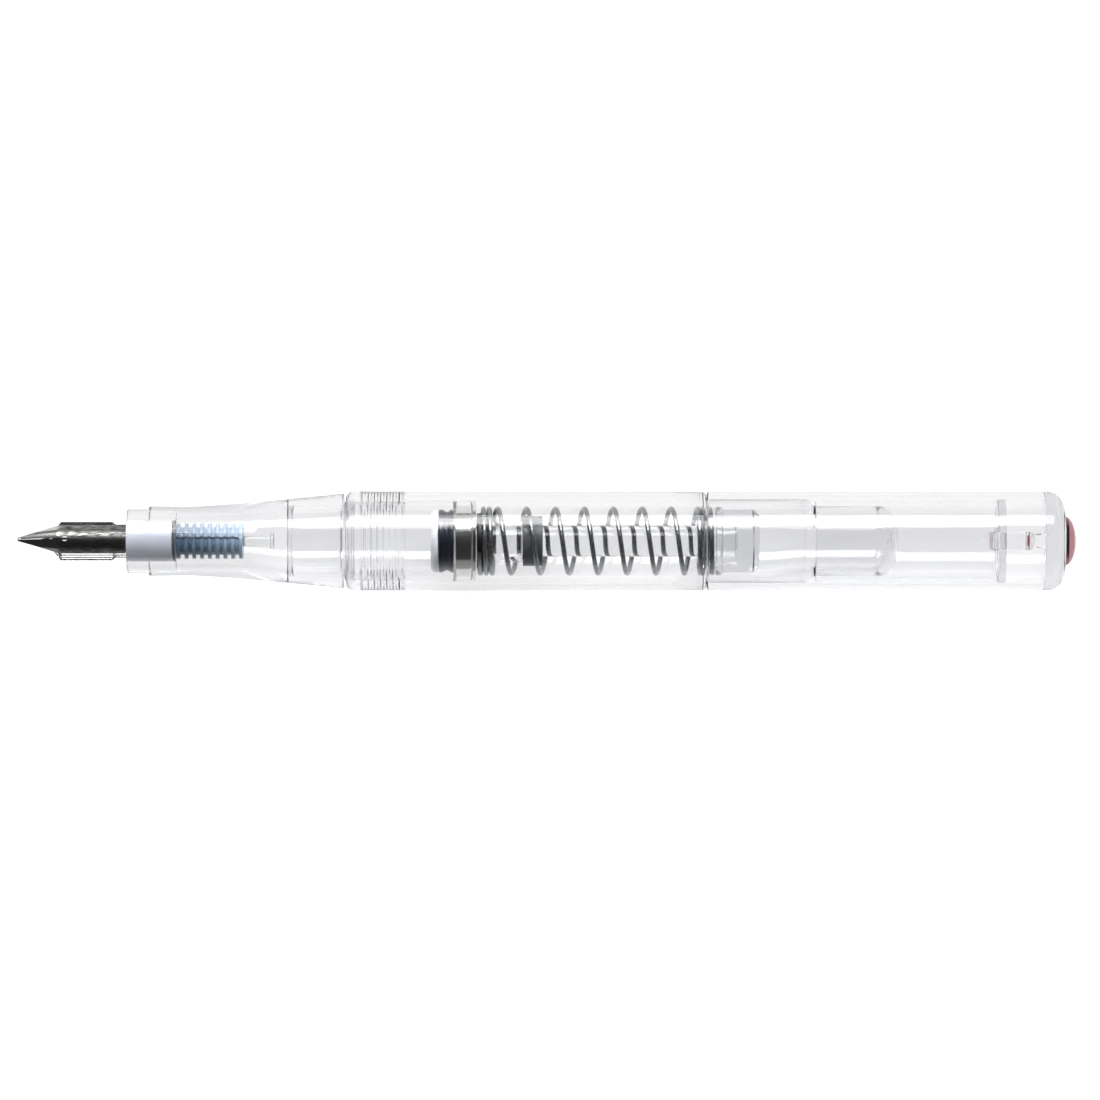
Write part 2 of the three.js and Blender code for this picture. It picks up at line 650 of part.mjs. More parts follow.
// The centre line of the spring's wire: closed turns at both ends, open turns between.
class SpringLine extends THREE.Curve {
  getPoint(share, target = new THREE.Vector3()) {
    const turns = SPRING_ACTIVE_TURNS + 2 * SPRING_CLOSED_TURNS;
    const closedLength = SPRING_CLOSED_TURNS * SPRING_CLOSED_PITCH;
    const room = SPRING_LENGTH - SPRING_WIRE - 2 * (SEAT_GAP + closedLength);
    const openPitch = room / SPRING_ACTIVE_TURNS;
    const turn = share * turns;
    const open = Math.min(Math.max(turn - SPRING_CLOSED_TURNS, 0), SPRING_ACTIVE_TURNS);
    const closed = turn - open;
    const x = springSeat + SEAT_GAP + SPRING_WIRE / 2 + open * openPitch + closed * SPRING_CLOSED_PITCH;
    const angle = turn * 2 * Math.PI + THREE.MathUtils.degToRad(SPRING_START_DEG);
    return target.set(x, springRadius * Math.cos(angle), springRadius * Math.sin(angle));
  }
}

function makeSpring() {
  const turns = SPRING_ACTIVE_TURNS + 2 * SPRING_CLOSED_TURNS;
  const line = new SpringLine();
  line.arcLengthDivisions = Math.round(turns * SPRING_DIVISIONS_PER_TURN);
  const section = [];
  for (let i = 0; i < SPRING_WIRE_SIDES; i++) {
    const angle = (i / SPRING_WIRE_SIDES) * 2 * Math.PI;
    section.push(new THREE.Vector2(Math.cos(angle), Math.sin(angle)).multiplyScalar(SPRING_WIRE / 2));
  }
  return new THREE.ExtrudeGeometry(new THREE.Shape(section), {
    steps: Math.round(turns * SPRING_STEPS_PER_TURN),
    extrudePath: line,
    bevelEnabled: false,
  });
}

function makePlungerButton() {
  const stemStart = buttonSeat - BUTTON_STEM_LENGTH;
  const flangeEnd = buttonSeat + BUTTON_FLANGE_THICKNESS;
  const bodyRadius = buttonRadius - BUTTON_BODY_STEP;
  const bore = ROD_RADIUS + SLIDE_FIT;
  const boreEnd = buttonEnd - BUTTON_LENGTH / 2;
  return turned(
    [
      [boreEnd, 0],
      [boreEnd, bore],
      [stemStart, bore],
      [stemStart, buttonStemRadius],
      [buttonSeat, buttonStemRadius],
      [buttonSeat, buttonRadius],
      [flangeEnd, buttonRadius],
      [flangeEnd, bodyRadius],
      [buttonEnd - BUTTON_ROUND, bodyRadius],
      [buttonEnd, bodyRadius - BUTTON_ROUND],
      [buttonEnd, 0],
    ]
  );
}

// ---- Cap --------------------------------------------------------------------------------------------------

function capBody() {
  const outside = [
    [capMouth, capRadius - CAP_MOUTH_CHAMFER],
    [capMouth + CAP_MOUTH_CHAMFER, capRadius],
    [capRim - CAP_END_ROUND, capRadius],
    ...roundedEnd(capRim - CAP_END_ROUND, capRim, capRadius, CAP_POCKET_RADIUS + CAP_RIM_WIDTH),
    [capRim, CAP_POCKET_RADIUS],
    [capPocketFloor, CAP_POCKET_RADIUS],
    [capPocketFloor, 0],
  ];
  const inside = [
    [capCavityEnd, 0],
    [capCavityEnd, capBore],
    [capMouth, capBore],
  ];
  return turned([...outside, ...inside]);
}

// A handle-shaped loop on the cap's upper side, with its hole running across the pen.
function capLoop() {
  const end = capEnd - LOOP_FROM_END;
  const start = end - LOOP_LENGTH;
  const foot = capRadius - LOOP_ROOT;
  const top = capRadius + LOOP_HEIGHT;
  const loop = new THREE.Shape();
  loop.moveTo(start, foot);
  loop.lineTo(end, foot);
  loop.lineTo(end, capRadius + LOOP_BAR / 2);
  loop.lineTo(end - LOOP_SLOPE, top);
  loop.lineTo(start + LOOP_SLOPE, top);
  loop.lineTo(start, capRadius + LOOP_BAR / 2);
  const hole = new THREE.Path();
  hole.moveTo(start + LOOP_BAR, capRadius);
  hole.lineTo(start + LOOP_BAR + LOOP_SLOPE / 2, top - LOOP_BAR);
  hole.lineTo(end - LOOP_BAR - LOOP_SLOPE / 2, top - LOOP_BAR);
  hole.lineTo(end - LOOP_BAR, capRadius);
  loop.holes.push(hole);
  const geometry = new THREE.ExtrudeGeometry(loop, { depth: LOOP_WIDTH, bevelEnabled: false });
  return geometry.translate(0, 0, -LOOP_WIDTH / 2).rotateX(Math.PI / 2);
}

function makeCapShell() {
  return geometryOf(solid(capBody()).add(solid(capLoop())));
}

function makeInnerCap() {
  const flangeRadius = capBore - SLIDE_FIT;
  const cavityEnd = innerCapEnd - INNER_CAP_FLOOR;
  return turned(
    [
      [innerCapEnd, 0],
      [innerCapEnd, flangeRadius],
      [innerCapEnd - INNER_CAP_FLANGE, flangeRadius],
      [innerCapEnd - INNER_CAP_FLANGE, innerCapRadius],
      [innerCapLip, innerCapRadius],
      [innerCapLip, innerCapBore],
      [cavityEnd, innerCapBore],
      [cavityEnd, 0],
    ]
  );
}

function makeFinialInlay() {
  return tube(inlayStart, inlayStart + INLAY_THICKNESS, 0, finialRadius);
}

function makeFinialLens() {
  const dome = roundedEnd(capRim, capEnd, finialRadius, 0);
  return turned([[lensStart, 0], [lensStart, finialRadius], [capRim, finialRadius], ...dome]);
}

// ---- Assembly ---------------------------------------------------------------------------------------------

const CLEAR = { color: 0xe9ebf0, roughness: 0.06, metalness: 0, transparent: true, opacity: 0.3 };
const PALE = { color: 0xdfe8f2, roughness: 0.3, metalness: 0 };
const INKED = { color: 0x5a6f8c, roughness: 0.25, metalness: 0 };
const STEEL = { color: 0xb6b6b2, roughness: 0.18, metalness: 1 };
const NAVY = { color: 0x2a3142, roughness: 0.5, metalness: 0 };
const BLACK = { color: 0x24252a, roughness: 0.55, metalness: 0 };
const GREY = { color: 0x5d5f64, roughness: 0.5, metalness: 0 };
const SILICONE = { color: 0xb9bcc4, roughness: 0.45, metalness: 0 };
const RED = { color: 0xb51a35, roughness: 0.35, metalness: 0 };

function piece(name, geometry, look) {
  const mesh = new THREE.Mesh(geometry, new THREE.MeshStandardMaterial(look));
  mesh.name = name;
  return mesh;
}

const nibUnit = new THREE.Group();
nibUnit.add(
  piece("nib", makeNib(), STEEL),
  piece("feed", makeFeed(), INKED),
  piece("nib_housing", makeNibHousing(), PALE),
  piece("housing_o_ring", makeHousingRing(), GREY),
);
nibUnit.rotation.x = -THREE.MathUtils.degToRad(NIB_TURN_DEG);

const grip = new THREE.Group();
grip.add(
  piece("grip_section", makeGripSection(), CLEAR),
  piece("chamber_gasket", makeChamberGasket(), SILICONE),
  piece("ink_chamber", makeInkChamber(), CLEAR),
  piece("filler_collar", makeFillerCollar(), STEEL),
  piece("rod_guide", makeRodGuide(), CLEAR),
  piece("guide_seal", makeGuideSeal(), BLACK),
  piece("rod_bush", makeRodBush(), GREY),
  piece("spring", makeSpring(), STEEL),
);

const plunger = new THREE.Group();
plunger.add(
  piece("piston_nose", makePistonNose(), PALE),
  piece("piston_seal", makePistonSeal(), NAVY),
  piece("plunger_rod", makePlungerRod(), CLEAR),
  piece("plunger_button", makePlungerButton(), CLEAR),
);

const barrel = new THREE.Group();
barrel.add(
  piece("barrel_o_ring", makeBarrelRing(), SILICONE),
  piece("barrel", makeBarrel(), CLEAR),
);

const cap = new THREE.Group();
cap.add(
  piece("cap_shell", makeCapShell(), CLEAR),
  piece("inner_cap", makeInnerCap(), CLEAR),
  piece("finial_inlay", makeFinialInlay(), RED),
  piece("finial_lens", makeFinialLens(), CLEAR),
);

const pen = new THREE.Group();
pen.add(nibUnit, grip, plunger, barrel, cap);
pen.position.set(-penLength / 2, 0, restHeight);

const part = new THREE.Group();
part.add(pen);
export default part;
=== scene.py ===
"""A clear fountain pen with a spring-loaded piston filler, its cap posted on the barrel's tail.

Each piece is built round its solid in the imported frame. Shapes are worked out in millimetres round the pen's
own axis, and a finished piece is put in the frame's metres. The pen lies along X, with the nib's point at -X
and its upper face up.
"""

import json
import math

import bmesh
import bpy
from bpy.props import FloatProperty, FloatVectorProperty, PointerProperty
from mathutils import Matrix, Vector


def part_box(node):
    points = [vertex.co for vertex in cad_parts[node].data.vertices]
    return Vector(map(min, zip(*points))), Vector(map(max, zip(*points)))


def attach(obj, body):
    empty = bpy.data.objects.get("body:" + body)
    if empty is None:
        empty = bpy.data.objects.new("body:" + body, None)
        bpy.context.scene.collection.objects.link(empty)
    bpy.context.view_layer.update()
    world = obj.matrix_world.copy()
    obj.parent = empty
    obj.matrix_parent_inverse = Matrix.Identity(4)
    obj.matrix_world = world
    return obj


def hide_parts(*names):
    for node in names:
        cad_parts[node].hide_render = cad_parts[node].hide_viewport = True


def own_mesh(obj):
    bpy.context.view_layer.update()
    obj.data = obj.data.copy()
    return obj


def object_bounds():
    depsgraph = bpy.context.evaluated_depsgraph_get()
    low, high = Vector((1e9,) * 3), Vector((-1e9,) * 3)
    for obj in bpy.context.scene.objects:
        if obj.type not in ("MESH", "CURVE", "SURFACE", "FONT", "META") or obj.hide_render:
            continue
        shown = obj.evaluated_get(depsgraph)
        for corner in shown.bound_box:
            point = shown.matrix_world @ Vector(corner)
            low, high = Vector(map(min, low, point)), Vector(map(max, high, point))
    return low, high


bl_info = {
    "name": "Clear fountain pen",
    "version": (1, 0, 0),
    "blender": (4, 5, 0),
    "location": "3D View > Sidebar > Pen",
    "description": "Builds a clear fountain pen, piece by piece, round its packed frame",
    "category": "Add Mesh",
}

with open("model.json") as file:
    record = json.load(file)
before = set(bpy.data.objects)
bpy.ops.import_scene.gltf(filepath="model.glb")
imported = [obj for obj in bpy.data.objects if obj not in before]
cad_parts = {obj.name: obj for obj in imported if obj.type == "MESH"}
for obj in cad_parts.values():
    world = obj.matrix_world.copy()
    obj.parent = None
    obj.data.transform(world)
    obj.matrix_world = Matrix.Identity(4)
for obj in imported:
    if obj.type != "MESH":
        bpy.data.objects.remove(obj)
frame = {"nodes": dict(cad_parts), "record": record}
CAD_BOX = [list(corner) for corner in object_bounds()]

MM = 0.001
MERGE = 1e-4  # corners nearer than this are one, in millimetres
SEGMENTS = 128  # round every turned piece
RING_SEGMENTS = 16  # round the wire of an O-ring
CORNER_SEGMENTS = 4  # across a rounded corner
SHARP = math.radians(32)  # edges that turn by more than this are drawn sharp
CORNER = math.radians(18)  # outline corners that turn by more than this are rounded
CORNER_SHARE = 0.42  # of the shorter side, the most that a rounding may take
STRAIGHT = math.radians(0.5)  # outline corners that turn by less than this are dropped
NIB_TURN = math.radians(10)  # how far the nib unit is turned in the grip
FULL_TURN = 2 * math.pi

BODY_OF = {node: body for body, nodes in frame["record"]["behaviour"]["bodies"].items() for node in nodes}


def span(node):
    """A CAD node's first and last place along the pen and its radius, in millimetres."""
    low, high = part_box(node)
    return low.x / MM, high.x / MM, (high.y - low.y) / 2 / MM


def axis_height():
    low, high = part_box("barrel")
    return (low.z + high.z) / 2


AXIS = axis_height()


# ---- Sizes and colours that a user would change ----------------------------------------------------------


def length(name, description, default, **more):
    return FloatProperty(
        name=name, description=description, default=default, min=0, precision=5, unit="LENGTH", **more
    )


def colour(name, description, default):
    return FloatVectorProperty(
        name=name, description=description, default=default, subtype="COLOR", size=3, min=0, max=1
    )


class PenSizes(bpy.types.PropertyGroup):
    """Sizes of the details that the frame leaves plain."""

    plastic_rounding: length("Plastic rounding", "Radius on the corners of the clear pieces", 0.00009)
    thread_rounding: length("Thread rounding", "Radius on the crests of the moulded thread", 0.0004)
    metal_rounding: length("Metal rounding", "Radius on the corners of the steel pieces", 0.00008)
    rubber_rounding: length("Rubber rounding", "Radius on the lips of the seals", 0.00022)
    nib_thickness: length("Nib thickness", "Thickness of the nib's sheet", 0.00032)
    slit_at_point: length("Slit at the point", "Width of the nib's slit at the point", 0.00008)
    slit_at_hole: length("Slit at the hole", "Width of the nib's slit at the breather hole", 0.0002)
    breather: length("Breather hole", "Diameter of the nib's breather hole", 0.0009)
    channel: length("Ink channel", "Width of the channel along the top of the feed", 0.0003)
    spring_wire: length("Spring wire", "Diameter of the spring's wire", 0.00072)
    closed_turns: FloatProperty(
        name="Closed turns", description="Touching turns at each end of the spring", default=2.6, min=1
    )
    open_turns: FloatProperty(
        name="Open turns", description="Turns of the spring that stand apart", default=7, min=1
    )
    loop_width: length("Loop width", "Width of the cap's loop across the pen", 0.0026)
    loop_bar: length("Loop bar", "Thickness of the cap's loop", 0.0009)


class PenColours(bpy.types.PropertyGroup):
    """Colours of the materials."""

    # the clear colour is partly the plastic's own slight blue tint and partly painted shade, standing in for
    # the pen's shadow on the floor seen through it
    clear: colour("Clear plastic", "Colour left in light that passes the clear plastic", (0.70, 0.71, 0.75))
    pale: colour("Pale plastic", "The piston's front", (0.88, 0.90, 0.93))
    sleeve: colour("Sleeve", "The nib's pale sleeve", (0.64, 0.68, 0.75))
    ink_dark: colour("Ink, dark", "Comb at its front", (0.095, 0.150, 0.250))
    ink_pale: colour("Ink, pale", "Comb at its rear", (0.360, 0.480, 0.600))
    steel: colour("Steel", "The nib", (0.60, 0.60, 0.585))
    collar: colour("Collar steel", "The bright collar", (0.78, 0.78, 0.76))
    wire: colour("Spring wire", "The spring", (0.30, 0.31, 0.32))
    navy: colour("Navy rubber", "The piston's seal", (0.004, 0.008, 0.020))
    black: colour("Black rubber", "The guide's seal", (0.004, 0.0042, 0.006))
    grey_rubber: colour("Grey rubber", "The ring behind the nib's sleeve", (0.10, 0.105, 0.12))
    bush: colour("Grey plastic", "The bush on the rod's guide", (0.075, 0.079, 0.086))
    silicone: colour("Silicone", "The gasket and the barrel's ring", (0.90, 0.90, 0.92))
    red: colour("Red inlay", "The disc in the cap's end", (0.50, 0.012, 0.050))
    floor: colour("Floor", "The ground under the pen", (0.30, 0.30, 0.302))


class PenStage(bpy.types.PropertyGroup):
    """Lights and camera."""

    sky: FloatProperty(name="Sky", description="Strength of the light from all round", default=0.28, min=0)
    floor_glow: FloatProperty(
        name="Floor glow", description="Light of the floor's own, as on a light table", default=0.7, min=0
    )
    backdrop_lift: FloatProperty(
        name="Backdrop lift", description="Extra light of the floor for the camera alone", default=0.2, min=0
    )
    side_light: FloatProperty(
        name="Side light", description="Power of the long soft light", default=2.9, min=0, unit="POWER"
    )
    lens: FloatProperty(
        name="Lens", description="Focal length of the camera", default=270, min=1, unit="CAMERA"
    )
    view_width: length("View width", "Width of the camera's view at the pen", 0.16016)


# ---- Shapes ----------------------------------------------------------------------------------------------


def outline_of(node, turn=0.0):
    """The node's section in the half plane above its axis, after a turn round the axis, as a wire mesh.

    X runs along the pen and Z is the distance from its axis, in millimetres.
    """
    bm = bmesh.new()
    bm.from_mesh(frame["nodes"][node].data)
    bmesh.ops.translate(bm, verts=bm.verts, vec=(0, 0, -AXIS))
    bmesh.ops.scale(bm, verts=bm.verts, vec=(1 / MM,) * 3)
    bmesh.ops.rotate(bm, verts=bm.verts, cent=(0, 0, 0), matrix=Matrix.Rotation(turn, 3, "X"))
    bmesh.ops.remove_doubles(bm, verts=bm.verts, dist=MERGE)
    whole = bm.verts[:] + bm.edges[:] + bm.faces[:]
    cut = bmesh.ops.bisect_plane(bm, geom=whole, dist=MERGE, plane_co=(0, 0, 0), plane_no=(0, 1, 0))
    kept = {e for e in cut["geom_cut"] if isinstance(e, bmesh.types.BMEdge)}
    bmesh.ops.delete(bm, geom=bm.faces[:], context="FACES_ONLY")
    bmesh.ops.delete(bm, geom=[e for e in bm.edges if e not in kept], context="EDGES")
    bmesh.ops.delete(bm, geom=[v for v in bm.verts if not v.link_edges], context="VERTS")
    wire = bm.verts[:] + bm.edges[:]
    bmesh.ops.bisect_plane(
        bm, geom=wire, dist=MERGE, plane_co=(0, 0, 0), plane_no=(0, 0, 1), clear_inner=True
    )
    straight = [v for v in bm.verts if len(v.link_edges) == 2 and turn_at(v) < STRAIGHT]
    bmesh.ops.dissolve_verts(bm, verts=straight)
    return bm


def turn_at(vertex):
    """How far a wire turns at a vertex with two edges."""
    a, b = (e.other_vert(vertex).co - vertex.co for e in vertex.link_edges)
    return math.pi - a.angle(b)


def round_corners(bm, rounding):
    """Rounds the corners of a wire outline, each by no more than its shorter side allows."""
    sizes = {}
    for v in bm.verts:
        if len(v.link_edges) == 2 and turn_at(v) > CORNER:
            size = min(rounding, CORNER_SHARE * min(e.calc_length() for e in v.link_edges))
            sizes.setdefault(round(size, 3), []).append(v)
    for size, corners in sizes.items():
        if size > 0:
            bmesh.ops.bevel(
                bm, geom=corners, offset=size, offset_type="OFFSET", segments=CORNER_SEGMENTS, profile=0.5,
                affect="VERTICES", material=-1,
            )
    return bm


def spun(bm):
    """A wire outline turned full round the axis into a closed shell."""
    bmesh.ops.spin(
        bm, geom=bm.verts[:] + bm.edges[:], cent=(0, 0, 0), axis=(1, 0, 0), dvec=(0, 0, 0), angle=FULL_TURN,
        steps=SEGMENTS, use_merge=True,
    )
    bmesh.ops.remove_doubles(bm, verts=bm.verts, dist=MERGE)
    bmesh.ops.recalc_face_normals(bm, faces=bm.faces)
    return bm


def turned(node, rounding, turn=0.0):
    """A CAD node's section with rounded corners, turned finely."""
    return spun(round_corners(outline_of(node, turn), rounding))


def ring_of(node):
    """A ring of round wire in the place of a CAD ring."""
    start, end, radius = span(node)
    wire = end - start
    bm = bmesh.new()
    bmesh.ops.create_circle(bm, segments=RING_SEGMENTS, radius=wire / 2)
    stand = Matrix.Rotation(math.pi / 2, 3, "X")
    bmesh.ops.rotate(bm, verts=bm.verts, cent=(0, 0, 0), matrix=stand)
    bmesh.ops.translate(bm, verts=bm.verts, vec=((start + end) / 2, 0, radius - wire / 2))
    return spun(bm)


def block(low, high):
    """A plain block between two corners."""
    bm = bmesh.new()
    bmesh.ops.create_cube(bm, size=1)
    size = Vector(high) - Vector(low)
    bmesh.ops.scale(bm, verts=bm.verts, vec=size)
    bmesh.ops.translate(bm, verts=bm.verts, vec=(Vector(low) + Vector(high)) / 2)
    return bm


def loose_object(name, bm):
    mesh = bpy.data.meshes.new(name)
    bm.to_mesh(mesh)
    bm.free()
    item = bpy.data.objects.new(name, mesh)
    bpy.context.scene.collection.objects.link(item)
    return item


def combined(base, tool, operation):
    """One shell joined with, cut by or kept inside another."""
    first, second = loose_object("first", base), loose_object("second", tool)
    modifier = first.modifiers.new("combine", "BOOLEAN")
    modifier.operation = operation
    modifier.object = second
    modifier.solver = "EXACT"
    bpy.context.view_layer.update()
    made = first.evaluated_get(bpy.context.evaluated_depsgraph_get())
    bm = bmesh.new()
    bm.from_mesh(made.data)
    for item in (first, second):
        mesh = item.data
        bpy.data.objects.remove(item)
        bpy.data.meshes.remove(mesh)
    bmesh.ops.remove_doubles(bm, verts=bm.verts, dist=MERGE)
    bmesh.ops.dissolve_degenerate(bm, dist=MERGE, edges=bm.edges)
    return bm


def add_piece(name, bm, materials, node):
    """Puts a shape in the frame as a piece that stands for a CAD node and rides on its body."""
    bmesh.ops.scale(bm, verts=bm.verts, vec=(MM,) * 3)
    bmesh.ops.translate(bm, verts=bm.verts, vec=(0, 0, AXIS))
    piece = loose_object(name, bm)
    for finish in materials:
        piece.data.materials.append(finish)
    piece.data.shade_smooth()
    piece.data.set_sharp_from_angle(angle=SHARP)
    normals = piece.modifiers.new("even_normals", "WEIGHTED_NORMAL")
    normals.keep_sharp = True
    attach(piece, BODY_OF[node])
    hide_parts(node)
    return piece


# ---- Effects shared by materials -------------------------------------------------------------------------


def new_group(name, inputs, outputs):
    """An empty node group: inputs are (name, kind, default) and outputs are (name, kind)."""
    group = bpy.data.node_groups.new(name, "ShaderNodeTree")
    for label, kind, default in inputs:
        socket = group.interface.new_socket(label, in_out="INPUT", socket_type=kind)
        if default is not None:
            socket.default_value = default
    for label, kind in outputs:
        group.interface.new_socket(label, in_out="OUTPUT", socket_type=kind)
    return group, group.nodes.new("NodeGroupInput"), group.nodes.new("NodeGroupOutput")


def math_node(tree, operation, first, second=0.5, clamp=False):
    """A Math node; each side is a socket or a number."""
    node = tree.nodes.new("ShaderNodeMath")
    node.operation = operation
    node.use_clamp = clamp
    for socket, value in zip(node.inputs, (first, second)):
        if isinstance(value, bpy.types.NodeSocket):
            tree.links.new(value, socket)
        else:
            socket.default_value = value
    return node.outputs[0]


def noise(tree, vector, scale, detail=2.0, roughness=0.5):
    node = tree.nodes.new("ShaderNodeTexNoise")
    tree.links.new(vector, node.inputs["Vector"])
    if isinstance(scale, bpy.types.NodeSocket):
        tree.links.new(scale, node.inputs["Scale"])
    else:
        node.inputs["Scale"].default_value = scale
    node.inputs["Detail"].default_value = detail
    node.inputs["Roughness"].default_value = roughness
    return node.outputs["Fac"]


HAIR_STRETCH = (0.35, 5.0, 5.0)
HAIR_SLANT = (0.3, 0.2, 0.5)
HAIR_SCALE = 1.6
HAIR_THINNESS = 60.0
PATCH_SCALE = 0.22
PATCH_START = 0.42  # of the noise, where a dull patch begins
PATCH_EDGE = 4.0  # how sharply it begins
PATCH_DULLNESS = 0.12


def handling_marks():
    """Fine hairlines and dull patches that handling leaves: a mask, a roughness and a height."""
    kinds = (
        ("Vector", "NodeSocketVector", None),
        ("Hairlines", "NodeSocketFloat", 0.5),
        ("Smooth", "NodeSocketFloat", 0.04),
        ("Worn", "NodeSocketFloat", 0.15),
    )
    group, given, out = new_group(
        "handling_marks", kinds,
        (("Mask", "NodeSocketFloat"), ("Roughness", "NodeSocketFloat"), ("Height", "NodeSocketFloat")),
    )
    links = group.links
    bent = group.nodes.new("ShaderNodeMapping")
    bent.inputs["Scale"].default_value = HAIR_STRETCH
    bent.inputs["Rotation"].default_value = HAIR_SLANT
    links.new(given.outputs["Vector"], bent.inputs["Vector"])
    lines = noise(group, bent.outputs["Vector"], HAIR_SCALE, 1.0, 0.4)
    thin = math_node(group, "ABSOLUTE", math_node(group, "SUBTRACT", lines, 0.5))
    hair = math_node(group, "SUBTRACT", 1.0, math_node(group, "MULTIPLY", thin, HAIR_THINNESS), clamp=True)
    patches = noise(group, given.outputs["Vector"], PATCH_SCALE, 3.0, 0.6)
    above = math_node(group, "SUBTRACT", patches, PATCH_START)
    where = math_node(group, "MULTIPLY", above, PATCH_EDGE, clamp=True)
    lying = math_node(group, "MULTIPLY", hair, where)
    marks = math_node(group, "MULTIPLY", lying, given.outputs["Hairlines"])
    dull = math_node(group, "ADD", marks, math_node(group, "MULTIPLY", where, PATCH_DULLNESS), clamp=True)
    spread = math_node(group, "SUBTRACT", given.outputs["Worn"], given.outputs["Smooth"])
    rough = math_node(group, "ADD", math_node(group, "MULTIPLY", dull, spread), given.outputs["Smooth"])
    links.new(marks, out.inputs["Mask"])
    links.new(rough, out.inputs["Roughness"])
    links.new(math_node(group, "MULTIPLY", marks, -1.0), out.inputs["Height"])
    return group


GRAIN_VARIATION = 0.25  # how far the grain's value strays from 1


def moulded_grain():
    """The soft waviness and fine grain of a moulded surface: a height and a value that varies round 1."""
    kinds = (
        ("Vector", "NodeSocketVector", None),
        ("Wave scale", "NodeSocketFloat", 0.5),
        ("Grain scale", "NodeSocketFloat", 9.0),
        ("Grain share", "NodeSocketFloat", 0.3),
    )
    group, given, out = new_group(
        "moulded_grain", kinds, (("Height", "NodeSocketFloat"), ("Variation", "NodeSocketFloat"))
    )
    wave = noise(group, given.outputs["Vector"], given.outputs["Wave scale"], 1.0)
    grain = noise(group, given.outputs["Vector"], given.outputs["Grain scale"], 2.0)
    fine = math_node(group, "MULTIPLY", grain, given.outputs["Grain share"])
    group.links.new(math_node(group, "ADD", wave, fine), out.inputs["Height"])
    about = math_node(group, "SUBTRACT", math_node(group, "ADD", wave, grain), 1.0)
    stray = math_node(group, "MULTIPLY", about, GRAIN_VARIATION)
    group.links.new(math_node(group, "ADD", stray, 1.0), out.inputs["Variation"])
    return group


LINE_SCALE = 2.2


def drawn_lines():
    """The lines that drawing, turning or brushing leaves in metal, along or across the pen."""
    kinds = (("Vector", "NodeSocketVector", None), ("Stretch", "NodeSocketVector", (0.2, 8.0, 8.0)))
    group, given, out = new_group("drawn_lines", kinds, (("Height", "NodeSocketFloat"),))
    spread = group.nodes.new("ShaderNodeVectorMath")
    spread.operation = "MULTIPLY"
    group.links.new(given.outputs["Vector"], spread.inputs[0])
    group.links.new(given.outputs["Stretch"], spread.inputs[1])
    group.links.new(noise(group, spread.outputs["Vector"], LINE_SCALE, 3.0, 0.65), out.inputs["Height"])
    return group


EFFECTS = {}


def effect(name):
    """The shared node group of that name, built the first time that it is asked for."""
    if name not in EFFECTS:
        builders = {
            "handling_marks": handling_marks, "moulded_grain": moulded_grain, "drawn_lines": drawn_lines,
        }
        EFFECTS[name] = builders[name]()
    return EFFECTS[name]


# ---- Materials -------------------------------------------------------------------------------------------

MATERIALS = {}


